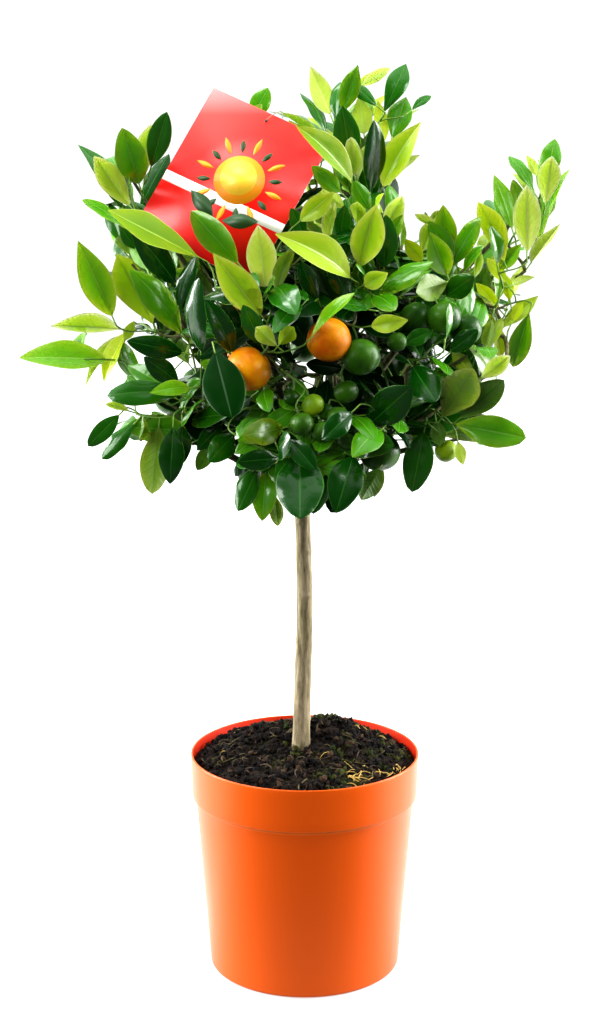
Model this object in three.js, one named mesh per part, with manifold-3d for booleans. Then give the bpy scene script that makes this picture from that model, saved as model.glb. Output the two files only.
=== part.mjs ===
// Potted calamondin orange tree: a standard with one bare stem, a loose leafy head and a picture
// card among its leaves, in a plastic nursery pot.
// Millimetres. The origin is the middle of the pot's flat underside. +Z is up, +X is to the right
// seen from the tree's front, and -Y is the front.
import * as THREE from 'three';
import { mergeVertices } from 'three/addons/utils/BufferGeometryUtils.js';
import Module from 'manifold-3d';

const wasm = await Module();
wasm.setup();

// ---- Driving dimensions ------------------------------------------------------------------------

const GAP = 0.4; // left between two pieces that meet
const WELD = 1e-4; // vertices nearer than this are one vertex

const POT = {
  height: 195,
  rimRadius: 100,
  bandHeight: 37.5, // the plain raised band under the rim
  bandFootRadius: 98.9,
  shoulder: 2.5, // height of the sloping step below the band
  bodyTopRadius: 96.1,
  footRadius: 83.8,
  footRound: 3, // rounding of the lower edge
  wall: 2.4,
  rimWall: 1.8,
  floor: 3,
  sides: 36,
};

const SOIL = {
  edgeTop: 187, // height of the soil where it meets the pot
  crown: 11, // how much the middle stands above the edge
  // heaps of peat on the crown, as x, y, height and radius
  heaps: [
    { x: 26, y: 42, top: 17, radius: 40 },
    { x: -44, y: 46, top: 9, radius: 36 },
    { x: 52, y: -14, top: 4, radius: 30 },
  ],
  crumbs: 1.2,
  rings: 5,
};

const TRUNK = {
  ground: 199, // height of the flat cut, where the stem leaves the soil
  fork: 436,
  groundRadius: 7.5,
  forkRadius: 6.4,
  flare: 0.9, // extra radius at the ground
  flareHeight: 12,
  // sideways sway of the stem, as [share of its height, x, y]
  sway: [
    [0, -3.2, 0],
    [0.21, -2.1, 0.6],
    [0.43, -0.4, 1.2],
    [0.6, -0.3, 0.6],
    [0.87, -2.1, -0.4],
    [1, -3, 0],
  ],
  sides: 10,
  steps: 12,
};

const BOUGH = {
  footRadius: 4.6,
  tipRadius: 2.2,
  sides: 6,
  steps: 4,
  rise: 0.09, // how far a bough bows above the straight line to its mass, as a share of its run
};

const CARD = {
  width: 110,
  height: 135,
  thickness: 0.8,
  topLeft: [-75, 5, 765],
  turn: -6.5, // degrees about +Z
  lean: -26.1, // degrees the top leans away from the front
  roll: 25.4, // degrees the right side hangs down
};

const MASS = {
  detail: 3, // each face of the icosahedron is cut into (detail + 1) squared faces
  smallDetail: 2, // the same for a mass whose half-sizes are all below smallSize
  smallSize: 53,
  unevenness: 0.085, // height of the lobes, as a share of the radius
  tipSpread: 0.4, // half-width in radians of the bulge that reaches a tip
};

// Each mass of foliage has a centre, three half-sizes and the tips of its leading shoots.
// A mass is cut round the ones that come before it.
const MASSES = [
  {
    name: 'foliage_upper_left',
    at: [-143, -22, 690],
    half: [38, 40, 42],
    tips: [[-184, -28, 722], [-148, -28, 738], [-112, -22, 750]],
  },
  {
    name: 'foliage_left',
    at: [-136, -58, 622],
    half: [46, 52, 44],
    tips: [[-182, -42, 680], [-184, -60, 646], [-158, -62, 580]],
  },
  {
    name: 'foliage_far_left',
    at: [-178, -24, 547],
    half: [45, 42, 31],
    tips: [[-240, -30, 549], [-216, -4, 572], [-184, -30, 520]],
  },
  {
    name: 'foliage_low_left',
    at: [-118, -52, 497],
    half: [52, 58, 42],
    tips: [[-180, -62, 474], [-168, -60, 524], [-124, -64, 436], [-82, -84, 464]],
  },
  {
    name: 'foliage_front',
    at: [-42, -118, 596],
    half: [56, 60, 54],
    tips: [[-88, -132, 672], [-34, -124, 662], [-20, -178, 610]],
  },
  {
    name: 'foliage_front_low',
    at: [-24, -96, 486],
    half: [58, 72, 44],
    tips: [[-60, -114, 434], [-30, -112, 424], [-6, -168, 500]],
  },
  {
    name: 'foliage_low_middle',
    at: [52, -92, 492],
    half: [42, 66, 42],
    tips: [[26, -108, 430], [62, -104, 440], [56, -160, 500]],
  },
  {
    name: 'foliage_middle_top',
    at: [48, 4, 712],
    half: [40, 42, 46],
    tips: [[2, 8, 784], [44, 12, 786], [84, 8, 786], [106, 10, 760], [-6, 8, 762]],
  },
  {
    name: 'foliage_middle',
    at: [50, -62, 626],
    half: [50, 58, 52],
    tips: [[10, -80, 672], [78, -56, 676], [54, -126, 620]],
  },
  {
    name: 'foliage_centre_right',
    at: [112, -22, 620],
    half: [34, 44, 38],
    tips: [[113, -22, 674], [90, -22, 666], [146, -18, 664]],
  },
  {
    name: 'foliage_right',
    at: [126, -66, 556],
    half: [50, 60, 42],
    tips: [[172, -42, 540], [182, -56, 580], [124, -134, 556]],
  },
  {
    name: 'foliage_right_tower',
    at: [188, 18, 664],
    half: [32, 34, 40],
    tips: [[210, 20, 726], [171, 20, 712], [228, 20, 698], [146, 14, 674], [184, 18, 616]],
  },
  {
    name: 'foliage_right_young',
    at: [168, 6, 588],
    half: [30, 40, 34],
    tips: [[198, 8, 604], [194, 2, 572]],
  },
  {
    name: 'foliage_low_right',
    at: [118, -48, 490],
    half: [46, 56, 36],
    tips: [[184, -60, 480], [88, -62, 438], [128, -60, 456]],
  },
  {
    name: 'foliage_behind_card',
    at: [-34, 46, 690],
    half: [52, 50, 50],
    tips: [[-32, 40, 768], [-84, 62, 730], [6, 84, 738]],
  },
  {
    name: 'foliage_back',
    at: [6, 132, 600],
    half: [68, 54, 62],
    tips: [[-28, 164, 668], [44, 160, 676], [8, 206, 606]],
  },
  {
    name: 'foliage_back_left',
    at: [-112, 78, 598],
    half: [60, 62, 60],
    tips: [[-168, 112, 660], [-196, 66, 606], [-138, 160, 600]],
  },
  {
    name: 'foliage_back_right',
    at: [118, 88, 602],
    half: [58, 60, 58],
    tips: [[152, 128, 668], [196, 104, 606], [120, 172, 600]],
  },
  {
    name: 'foliage_back_low_left',
    at: [-74, 92, 494],
    half: [64, 60, 42],
    tips: [[-146, 92, 484], [-92, 124, 440], [-66, 174, 500]],
  },
  {
    name: 'foliage_back_low_right',
    at: [74, 94, 494],
    half: [64, 60, 42],
    tips: [[148, 96, 482], [84, 122, 438], [76, 176, 500]],
  },
];

// The mass that each main bough carries, and how far below the fork the bough leaves the stem.
const BOUGHS = [
  { name: 'bough_upper_left', mass: 'foliage_upper_left', drop: 3 },
  { name: 'bough_left', mass: 'foliage_left', drop: 13 },
  { name: 'bough_low_left', mass: 'foliage_low_left', drop: 21 },
  { name: 'bough_front', mass: 'foliage_front', drop: 8 },
  { name: 'bough_middle', mass: 'foliage_middle_top', drop: -4 },
  { name: 'bough_right', mass: 'foliage_right', drop: 12 },
  { name: 'bough_right_tower', mass: 'foliage_right_tower', drop: 1 },
  { name: 'bough_low_right', mass: 'foliage_low_right', drop: 21 },
  { name: 'bough_back_left', mass: 'foliage_back_left', drop: 6 },
  { name: 'bough_back_right', mass: 'foliage_back_right', drop: 9 },
  { name: 'bough_back', mass: 'foliage_behind_card', drop: 0 },
  { name: 'bough_back_low_left', mass: 'foliage_back_low_left', drop: 19 },
  { name: 'bough_back_low_right', mass: 'foliage_back_low_right', drop: 23 },
];

const COLOUR = {
  pot: { color: 0xe2560f, roughness: 0.25 },
  soil: { color: 0x2b231b, roughness: 0.95 },
  bark: { color: 0x8f8772, roughness: 0.8 },
  twigBark: { color: 0x5c6a35, roughness: 0.7 },
  oldLeaves: { color: 0x1f4d1b, roughness: 0.35 },
  youngLeaves: { color: 0x86b52c, roughness: 0.5 },
  card: { color: 0xe23a34, roughness: 0.3 },
};
const YOUNG_MASSES = new Set([
  'foliage_upper_left',
  'foliage_far_left',
  'foliage_middle_top',
  'foliage_centre_right',
  'foliage_right_tower',
  'foliage_right_young',
]);

// ---- Solids ------------------------------------------------------------------------------------

// Welds a geometry's corners so that only its positions are left.
function welded(geometry) {
  const bare = geometry.clone();
  bare.deleteAttribute('normal');
  bare.deleteAttribute('uv');
  return mergeVertices(bare, WELD);
}

function solidOf(geometry) {
  const closed = welded(geometry);
  return new wasm.Manifold(new wasm.Mesh({
    numProp: 3,
    vertProperties: new Float32Array(closed.attributes.position.array),
    triVerts: new Uint32Array(closed.index.array),
  }));
}

function geometryOf(solid) {
  const mesh = solid.getMesh();
  const geometry = new THREE.BufferGeometry();
  geometry.setAttribute('position', new THREE.BufferAttribute(mesh.vertProperties, 3));
  geometry.setIndex(new THREE.BufferAttribute(mesh.triVerts, 1));
  geometry.computeVertexNormals();
  return geometry;
}

// Moves every corner of a welded geometry to move(corner).
function reshape(geometry, move) {
  const shaped = welded(geometry);
  const places = shaped.attributes.position;
  const corner = new THREE.Vector3();
  for (let i = 0; i < places.count; i += 1) {
    corner.fromBufferAttribute(places, i);
    move(corner);
    places.setXYZ(i, corner.x, corner.y, corner.z);
  }
  return shaped;
}

// Turns a profile of [radius, height] points about the Z axis.
function turned(profile, sides) {
  const points = profile.map(([radius, height]) => new THREE.Vector2(radius, height));
  return new THREE.LatheGeometry(points, sides).rotateX(Math.PI / 2);
}

// A tapering limb along a curve: a capped cylinder bent to the curve, with radiusAt(share) as its
// radius at each share of the way.
function limb(curve, radiusAt, sides, steps) {
  const frames = curve.computeFrenetFrames(steps, false);
  const straight = new THREE.CylinderGeometry(1, 1, 1, sides, steps);
  return reshape(straight, (corner) => {
    const share = corner.y + 0.5;
    const step = Math.round(share * steps);
    const radius = radiusAt(share);
    const across = frames.binormals[step].clone().multiplyScalar(corner.x * radius);
    const along = frames.normals[step].clone().multiplyScalar(corner.z * radius);
    corner.copy(curve.getPointAt(share)).add(across).add(along);
  });
}

// ---- Pot and soil ------------------------------------------------------------------------------

function potBodyRadius(height) {
  const share = height / (POT.height - POT.bandHeight);
  return POT.footRadius + (POT.bodyTopRadius - POT.footRadius) * share;
}

function potGeometry() {
  const bandFoot = POT.height - POT.bandHeight;
  const innerFoot = potBodyRadius(POT.floor) - POT.wall;
  const innerShoulder = POT.bodyTopRadius - POT.wall;
  const innerBand = POT.bandFootRadius - POT.wall;
  const innerRim = POT.rimRadius - POT.rimWall;
  return turned([
    [0, 0],
    [POT.footRadius - POT.footRound, 0],
    [POT.footRadius - 0.3 * POT.footRound, 0.3 * POT.footRound],
    [potBodyRadius(POT.footRound), POT.footRound],
    [POT.bodyTopRadius, bandFoot - POT.shoulder],
    [POT.bandFootRadius, bandFoot],
    [POT.rimRadius, POT.height - 1],
    [POT.rimRadius - 0.6, POT.height],
    [innerRim, POT.height],
    [innerBand, bandFoot + POT.wall],
    [innerShoulder, bandFoot - POT.shoulder],
    [innerFoot, POT.floor],
    [0, POT.floor],
  ], POT.sides);
}

// Height of the soil surface above its edge: a low crown, the heaps on it and crumbs.
function soilRise(x, y) {
  const share = Math.min(1, Math.hypot(x, y) / (POT.rimRadius - POT.wall));
  let heaped = SOIL.crumbs * Math.sin(x * 0.21 + 1.3) * Math.cos(y * 0.17 - 0.4);
  for (const heap of SOIL.heaps) {
    const away = Math.hypot(x - heap.x, y - heap.y) / heap.radius;
    heaped += heap.top * Math.exp(-(away ** 2));
  }
  return SOIL.crown * (1 - share ** 2) + heaped * (1 - share ** 4);
}

function soilGeometry(trunkHole) {
  const bandFoot = POT.height - POT.bandHeight;
  const bottom = POT.floor + GAP;
  const footRadius = potBodyRadius(POT.floor) - POT.wall - GAP;
  const shoulderRadius = POT.bodyTopRadius - POT.wall - GAP;
  const bandRadius = POT.bandFootRadius - POT.wall - GAP;
  const edgeShare = (SOIL.edgeTop - bandFoot) / POT.bandHeight;
  const edgeRadius = bandRadius + (POT.rimRadius - POT.bandFootRadius) * edgeShare - GAP;
  const surface = Array.from({ length: SOIL.rings + 1 }, (_, ring) => (
    [edgeRadius * (1 - ring / SOIL.rings), SOIL.edgeTop]
  ));
  const filled = turned([
    [0, bottom],
    [footRadius, bottom],
    [shoulderRadius, bandFoot - POT.shoulder],
    [bandRadius, bandFoot + POT.wall],
    ...surface,
  ], POT.sides);
  const heaped = reshape(filled, (corner) => {
    if (corner.z > SOIL.edgeTop - 1) {
      corner.z += soilRise(corner.x, corner.y);
    }
  });
  return geometryOf(solidOf(heaped).subtract(trunkHole));
}

// ---- Trunk and boughs --------------------------------------------------------------------------

function trunkPoint([share, x, y]) {
  return new THREE.Vector3(x, y, TRUNK.ground + share * (TRUNK.fork - TRUNK.ground));
}

// The stem starts this far below the ground so that the cut there comes out flat.
const BELOW_CUT = 12;

function trunkSolid(growth = 0) {
  const onGround = trunkPoint(TRUNK.sway[0]);
  const start = onGround.clone().setZ(TRUNK.ground - BELOW_CUT);
  const curve = new THREE.CatmullRomCurve3([start, ...TRUNK.sway.map(trunkPoint)]);
  const length = TRUNK.fork - start.z;
  const geometry = limb(curve, (share) => {
    const height = share * length - BELOW_CUT;
    const taper = (TRUNK.groundRadius - TRUNK.forkRadius) * Math.max(0, height) / length;
    const flare = TRUNK.flare * Math.exp(-Math.max(0, height) / TRUNK.flareHeight);
    return TRUNK.groundRadius - taper + flare + growth;
  }, TRUNK.sides, TRUNK.steps);
  const slab = new THREE.BoxGeometry(100, 100, 100);
  slab.translate(0, 0, TRUNK.ground - growth - 50);
  return solidOf(geometry).subtract(solidOf(slab));
}

// A bough leaves the stem near the fork, bows upwards and ends inside its mass, which cuts it off.
function boughSolid({ mass, drop }, growth = 0) {
  const target = new THREE.Vector3(...MASSES.find((each) => each.name === mass).at);
  const foot = trunkPoint(TRUNK.sway.at(-1));
  foot.z -= drop;
  const run = target.clone().sub(foot);
  const middle = foot.clone().addScaledVector(run, 0.5);
  middle.z += BOUGH.rise * Math.hypot(run.x, run.y);
  const curve = new THREE.CatmullRomCurve3([foot, middle, target]);
  const radius = (share) => (
    BOUGH.footRadius + (BOUGH.tipRadius - BOUGH.footRadius) * share + growth
  );
  return solidOf(limb(curve, radius, BOUGH.sides, BOUGH.steps));
}

// ---- Foliage -----------------------------------------------------------------------------------

// Three crossing waves over the directions from a mass's centre give it broad lobes of its own.
function lobes(direction, seed) {
  const wave = Math.sin(3.1 * direction.x + 1.7 * seed)
    + Math.sin(3.7 * direction.y + 2.9 * seed)
    + Math.sin(4.3 * direction.z - 1.9 * seed + 2 * direction.x);
  return MASS.unevenness * wave;
}

function ellipsoidRadius(direction, [a, b, c]) {
  return 1 / Math.hypot(direction.x / a, direction.y / b, direction.z / c);
}

function massSolid({ at, half, tips }, seed, growth = 0) {
  const centre = new THREE.Vector3(...at);
  const bodyRadius = (direction) => ellipsoidRadius(direction, half) * (1 + lobes(direction, seed));
  const bulges = tips.map((tip) => {
    const reach = new THREE.Vector3(...tip).sub(centre);
    const direction = reach.clone().normalize();
    return { direction, rise: reach.length() - bodyRadius(direction) };
  });
  const detail = Math.max(...half) < MASS.smallSize ? MASS.smallDetail : MASS.detail;
  const ball = new THREE.IcosahedronGeometry(1, detail);
  return solidOf(reshape(ball, (corner) => {
    const direction = corner.clone().normalize();
    const shares = bulges.map((bulge) => {
      const away = direction.angleTo(bulge.direction) / MASS.tipSpread;
      return Math.exp(-(away ** 2));
    });
    // where bulges run into each other they share the rise, so none stands past its tip
    const crowding = Math.max(1, shares.reduce((sum, share) => sum + share, 0));
    const rise = bulges.reduce((sum, bulge, i) => sum + bulge.rise * shares[i], 0) / crowding;
    corner.copy(direction).multiplyScalar(bodyRadius(direction) + rise + growth).add(centre);
  }));
}

// ---- Card --------------------------------------------------------------------------------------

function cardMatrix() {
  const degree = Math.PI / 180;
  const turn = new THREE.Euler(CARD.lean * degree, CARD.roll * degree, CARD.turn * degree, 'ZXY');
  const matrix = new THREE.Matrix4().makeRotationFromEuler(turn);
  return matrix.setPosition(...CARD.topLeft);
}

// The card hangs from its top left corner, before it is turned, in the XZ plane.
function cardSolid(growth = 0) {
  const sheet = new THREE.BoxGeometry(
    CARD.width + 2 * growth,
    CARD.thickness + 2 * growth,
    CARD.height + 2 * growth,
  );
  sheet.translate(CARD.width / 2, 0, -CARD.height / 2);
  return solidOf(sheet.applyMatrix4(cardMatrix()));
}

// ---- Assembly ----------------------------------------------------------------------------------

const tree = new THREE.Group();
tree.name = 'calamondin_orange_tree';

function addPart(name, geometry, look) {
  const mesh = new THREE.Mesh(geometry, new THREE.MeshStandardMaterial(look));
  mesh.name = name;
  tree.add(mesh);
}

// Removes from a solid all that lies inside the cutters.
function cutRound(solid, cutters) {
  return cutters.reduce((left, cutter) => left.subtract(cutter), solid);
}

// The largest of the bodies that a cut left, without the chips.
function largestBody(solid) {
  const bodies = solid.decompose();
  return bodies.reduce((best, body) => (body.volume() > best.volume() ? body : best));
}

addPart('pot', potGeometry(), COLOUR.pot);
addPart('soil', soilGeometry(trunkSolid(GAP)), COLOUR.soil);
addPart('trunk', geometryOf(trunkSolid()), COLOUR.bark);

// Boughs give way to the stem, to the boughs before them and to the mass that they carry.
const boughRoom = [trunkSolid(GAP)];
const boughHoles = [];
for (const bough of BOUGHS) {
  const seed = MASSES.findIndex((mass) => mass.name === bough.mass);
  const carried = massSolid(MASSES[seed], seed, GAP);
  const limbSolid = cutRound(boughSolid(bough), [...boughRoom, carried]);
  addPart(bough.name, geometryOf(largestBody(limbSolid)), COLOUR.twigBark);
  const hole = boughSolid(bough, GAP);
  boughRoom.push(hole);
  boughHoles.push({ mass: bough.mass, hole });
}

addPart('label_card', geometryOf(cardSolid()), COLOUR.card);

// Masses give way to the card, to the boughs that pass them and to the masses before them.
const massRoom = [cardSolid(GAP), trunkSolid(GAP)];
MASSES.forEach((mass, seed) => {
  const passing = boughHoles.filter((each) => each.mass !== mass.name).map((each) => each.hole);
  const solid = cutRound(massSolid(mass, seed), [...massRoom, ...passing]);
  const look = YOUNG_MASSES.has(mass.name) ? COLOUR.youngLeaves : COLOUR.oldLeaves;
  addPart(mass.name, geometryOf(largestBody(solid)), look);
  massRoom.push(massSolid(mass, seed, GAP));
});

export default tree;
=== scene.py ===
"""The looks of a potted calamondin orange tree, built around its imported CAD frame.

Sizes and places are in millimetres until a mesh is made, in the frame of the CAD part: the origin is
the middle of the pot's underside, +Z is up and -Y is the front. Colours are sRGB, 0 to 255, until a
material is made.
"""
import math
from collections import namedtuple
from functools import cache

import bpy
import numpy as np
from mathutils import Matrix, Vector, noise
from mathutils.bvhtree import BVHTree


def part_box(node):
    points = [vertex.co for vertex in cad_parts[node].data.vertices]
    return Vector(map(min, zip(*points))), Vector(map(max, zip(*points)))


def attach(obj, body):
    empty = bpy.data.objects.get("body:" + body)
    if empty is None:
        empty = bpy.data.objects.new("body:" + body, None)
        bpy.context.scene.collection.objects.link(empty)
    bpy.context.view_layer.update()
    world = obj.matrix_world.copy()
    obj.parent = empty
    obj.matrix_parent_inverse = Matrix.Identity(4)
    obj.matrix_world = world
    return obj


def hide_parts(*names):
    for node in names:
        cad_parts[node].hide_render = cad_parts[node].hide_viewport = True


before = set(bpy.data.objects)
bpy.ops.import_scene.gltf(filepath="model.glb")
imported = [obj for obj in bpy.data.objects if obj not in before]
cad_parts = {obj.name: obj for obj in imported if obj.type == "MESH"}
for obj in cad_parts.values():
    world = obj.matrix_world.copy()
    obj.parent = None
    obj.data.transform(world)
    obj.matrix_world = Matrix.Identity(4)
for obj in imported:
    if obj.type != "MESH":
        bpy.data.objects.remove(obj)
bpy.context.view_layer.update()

MM = 0.001
UP = np.array([0.0, 0.0, 1.0])

# ---- Sizes that the CAD part has too -----------------------------------------------------------

POT = {
    "height": 195.0,
    "rim_radius": 100.0,
    "band_height": 37.5,
    "band_foot_radius": 98.9,
    "shoulder": 2.5,
    "body_top_radius": 96.1,
    "foot_radius": 83.8,
    "foot_round": 3.0,
    "wall": 2.4,
    "rim_wall": 1.8,
    "floor": 3.0,
}
SOIL = {"edge_top": 187.0, "crown": 11.0, "crumbs": 1.2}
# Heaps of peat: x, y, height, radius.
HEAPS = [(26, 42, 17, 40), (-44, 46, 9, 36), (52, -14, 4, 30)]
TRUNK = {"ground": 199.0, "fork": 436.0, "ground_radius": 7.5, "fork_radius": 6.4, "flare": 0.9,
         "flare_height": 12.0}
# Sideways sway of the stem: share of its height, x, y.
SWAY = [(0, -3.2, 0), (0.21, -2.1, 0.6), (0.43, -0.4, 1.2), (0.6, -0.3, 0.6), (0.87, -2.1, -0.4),
        (1, -3, 0)]
BOUGH = {"foot_radius": 4.6, "end_radius": 1.1, "rise": 0.09}
# The mass that each bough carries, and how far below the fork it leaves the stem.
BOUGHS = {
    "upper_left": ("upper_left", 3), "left": ("left", 13), "low_left": ("low_left", 21),
    "front": ("front", 8), "middle": ("middle_top", -4), "right": ("right", 12),
    "right_tower": ("right_tower", 1), "low_right": ("low_right", 21),
    "back_left": ("back_left", 6), "back_right": ("back_right", 9), "back": ("behind_card", 0),
    "back_low_left": ("back_low_left", 19), "back_low_right": ("back_low_right", 23),
}
CARD = {"width": 110.0, "height": 135.0, "thickness": 0.8, "top_left": (-75.0, 5.0, 765.0),
        "turn": -6.5, "lean": -26.1, "roll": 25.4}


def add_object(name, data):
    """Puts a new object with that data into the scene."""
    made = bpy.data.objects.new(name, data)
    bpy.context.scene.collection.objects.link(made)
    return made


# ---- Camera ------------------------------------------------------------------------------------

VIEW = {"width_px": 594, "height_px": 1034, "focal_px": 1985.0, "distance": 1658.0,
        "height": 781.0, "pitch": 12.75, "offset": -6.8, "sensor": 36.0, "clip_m": 50.0}
CAMERA_AT = np.array([VIEW["offset"], -VIEW["distance"], VIEW["height"]])


def at_pixel(pixel, y):
    """The point at depth y that the camera sees at that pixel."""
    u, v = pixel
    pitch = math.radians(VIEW["pitch"])
    t = (v - VIEW["height_px"] / 2) / VIEW["focal_px"]
    dy = y + VIEW["distance"]
    dz = -dy * (math.sin(pitch) + t * math.cos(pitch)) / (math.cos(pitch) - t * math.sin(pitch))
    far = dy * math.cos(pitch) - dz * math.sin(pitch)
    x = (u - VIEW["width_px"] / 2) * far / VIEW["focal_px"] + VIEW["offset"]
    return np.array([x, y, VIEW["height"] + dz])


def to_pixel(points):
    """Each point's pixel (u, v) and its distance along the camera's axis."""
    pitch = math.radians(VIEW["pitch"])
    moved = np.atleast_2d(points) - CAMERA_AT
    far = moved[:, 1] * math.cos(pitch) - moved[:, 2] * math.sin(pitch)
    down = -(moved[:, 1] * math.sin(pitch) + moved[:, 2] * math.cos(pitch))
    u = VIEW["width_px"] / 2 + VIEW["focal_px"] * moved[:, 0] / far
    v = VIEW["height_px"] / 2 + VIEW["focal_px"] * down / far
    return u, v, far


def make_camera():
    data = bpy.data.cameras.new("camera")
    data.sensor_width = VIEW["sensor"]
    data.sensor_fit = "AUTO"
    data.lens = VIEW["focal_px"] * VIEW["sensor"] / VIEW["height_px"]
    data.clip_end = VIEW["clip_m"]
    camera = add_object("camera", data)
    camera.location = Vector(CAMERA_AT * MM)
    camera.rotation_euler = (math.radians(90 - VIEW["pitch"]), 0, 0)
    bpy.context.scene.camera = camera


# ---- Light and floor ---------------------------------------------------------------------------

# Softboxes: place, size, radiance and what they light: everything, only matt shading ("matt") or
# only reflections ("gloss"). The tree stands between two large ones and under a third.
SOFTBOXES = [
    ("left_box", (-1900, 380, 900), (1100, 1500), 15.0, "all"),
    ("right_box", (1900, 380, 900), (1100, 1500), 16.0, "all"),
    ("top_box", (50, -250, 2300), (1000, 900), 12.0, "matt"),
    ("top_strip", (-500, 200, 2200), (300, 800), 12.0, "all"),
    ("front_box", (-800, -2300, 1500), (1200, 900), 10.5, "matt"),
    ("left_wing", (-1500, -1000, 1400), (800, 1200), 9.0, "gloss"),
    ("right_wing", (1500, -900, 1400), (500, 1100), 9.0, "gloss"),
]
LIGHT_TARGET = np.array([0, 0, 480.0])
# How bright the surround is: as the camera sees it, beside and behind the tree, and in front of it,
# and between which directions (-1 is straight to the front, 1 to the back) it goes from dark to bright.
SURROUND = {"backdrop": 1.0, "sides": 1.05, "front": 0.06, "between": (-0.85, -0.1)}


def make_softboxes():
    for name, place, size, radiance, lights in SOFTBOXES:
        data = bpy.data.lights.new(name, "AREA")
        data.shape = "RECTANGLE"
        data.size = size[0] * MM
        data.size_y = size[1] * MM
        data.energy = radiance * math.pi * data.size * data.size_y
        box = add_object(name, data)
        box.location = Vector(np.array(place) * MM)
        aim = Vector(LIGHT_TARGET - np.array(place))
        box.rotation_euler = aim.to_track_quat("-Z", "Y").to_euler()
        box.visible_camera = False
        box.visible_glossy = lights != "matt"
        box.visible_diffuse = lights != "gloss"


def make_surround():
    """A white studio that is bright behind and beside the tree, and dark on the front side."""
    world = bpy.data.worlds.new("studio")
    world.use_nodes = True
    nodes, links = world.node_tree.nodes, world.node_tree.links
    background = nodes["Background"]
    direction = nodes.new("ShaderNodeTexCoord")
    split = nodes.new("ShaderNodeSeparateXYZ")
    links.new(direction.outputs["Generated"], split.inputs[0])
    brightness = nodes.new("ShaderNodeMapRange")
    brightness.interpolation_type = "SMOOTHSTEP"
    limits = (*SURROUND["between"], SURROUND["front"], SURROUND["sides"])
    for socket, limit in zip(("From Min", "From Max", "To Min", "To Max"), limits):
        brightness.inputs[socket].default_value = limit
    links.new(split.outputs["Y"], brightness.inputs["Value"])
    path = nodes.new("ShaderNodeLightPath")
    shown = nodes.new("ShaderNodeMix")
    shown.inputs["B"].default_value = SURROUND["backdrop"]
    links.new(path.outputs["Is Camera Ray"], shown.inputs["Factor"])
    links.new(brightness.outputs["Result"], shown.inputs["A"])
    background.inputs["Color"].default_value = (1, 1, 1, 1)
    links.new(shown.outputs["Result"], background.inputs["Strength"])
    bpy.context.scene.world = world


# ---- Materials ---------------------------------------------------------------------------------

def linear(colour):
    share = np.array(colour, float) / 255
    curve = np.where(share <= 0.04045, share / 12.92, ((share + 0.055) / 1.055) ** 2.4)
    return (*curve, 1.0)


class Paint:
    """A material with a Principled shader, and short calls for the nodes that drive it."""

    def __init__(self, name, colour, roughness, **sockets):
        self.material = bpy.data.materials.new(name)
        self.material.use_nodes = True
        self.nodes = self.material.node_tree.nodes
        self.links = self.material.node_tree.links
        self.shader = self.nodes["Principled BSDF"]
        self.shader.inputs["Base Color"].default_value = linear(colour)
        self.shader.inputs["Roughness"].default_value = roughness
        for socket, value in sockets.items():
            self.shader.inputs[socket.replace("_", " ")].default_value = value

    def node(self, kind, vector=None, **inputs):
        """A new node with those values at its inputs and that vector linked in."""
        node = self.nodes.new("ShaderNode" + kind)
        for socket, value in inputs.items():
            node.inputs[socket.replace("_", " ")].default_value = value
        if vector is not None:
            self.links.new(vector, node.inputs["Vector"])
        return node

    def coordinates(self, kind="Object"):
        return self.node("TexCoord").outputs[kind]

    def axes(self, vector):
        return self.node("SeparateXYZ", vector).outputs

    def stretched(self, vector, scale):
        return self.node("Mapping", vector, Scale=scale).outputs["Vector"]

    def noise(self, vector, scale, detail=4.0, rough=0.55):
        return self.node("TexNoise", vector, Scale=scale, Detail=detail, Roughness=rough).outputs["Fac"]

    def cells(self, vector, scale):
        return self.node("TexVoronoi", vector, Scale=scale).outputs["Distance"]

    def maths(self, operation, a, b=0.0):
        node = self.node("Math")
        node.operation = operation
        for socket, value in zip(node.inputs, (a, b)):
            if isinstance(value, (int, float)):
                socket.default_value = value
            else:
                self.links.new(value, socket)
        return node.outputs[0]

    def between(self, value, low, high, from_low=0.0, from_high=1.0):
        """The value mapped from between the last two numbers to between the first two."""
        node = self.node("MapRange", From_Min=from_low, From_Max=from_high, To_Min=low, To_Max=high)
        self.links.new(value, node.inputs["Value"])
        return node.outputs["Result"]

    def ramp(self, value, stops):
        node = self.node("ValToRGB")
        elements = node.color_ramp.elements
        while len(elements) < len(stops):
            elements.new(0.5)
        for element, (place, colour) in zip(elements, stops):
            element.position = place
            element.color = linear(colour)
        self.links.new(value, node.inputs["Fac"])
        return node.outputs["Color"]

    def mixed(self, factor, a, b):
        node = self.node("Mix")
        node.data_type = "RGBA"
        self.links.new(factor, node.inputs["Factor"])
        for socket, value in ((node.inputs[6], a), (node.inputs[7], b)):
            if isinstance(value, tuple):
                socket.default_value = linear(value)
            else:
                self.links.new(value, socket)
        return node.outputs[2]

    def bump(self, height, strength, distance):
        """Adds a relief of that depth in millimetres, on top of any earlier one."""
        node = self.node("Bump", Strength=strength, Distance=distance * MM)
        self.links.new(height, node.inputs["Height"])
        if self.shader.inputs["Normal"].links:
            earlier = self.shader.inputs["Normal"].links[0].from_socket
            self.links.new(earlier, node.inputs["Normal"])
        self.links.new(node.outputs["Normal"], self.shader.inputs["Normal"])

    def drive(self, socket, value):
        self.links.new(value, self.shader.inputs[socket])


# A fine relief: the scale of its noise, how strong it is and how deep in millimetres, the detail and
# roughness of the noise, and how its coordinates are stretched.
Grain = namedtuple("Grain", "scale strength depth detail rough stretch", defaults=(4.0, 0.55, None))


def grained(name, colour, roughness, grain, **sockets):
    """A material of one colour with a fine relief."""
    paint = Paint(name, colour, roughness, **sockets)
    place = paint.coordinates()
    if grain.stretch:
        place = paint.stretched(place, grain.stretch)
    paint.bump(paint.noise(place, grain.scale, grain.detail, grain.rough), grain.strength, grain.depth)
    return paint.material


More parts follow.
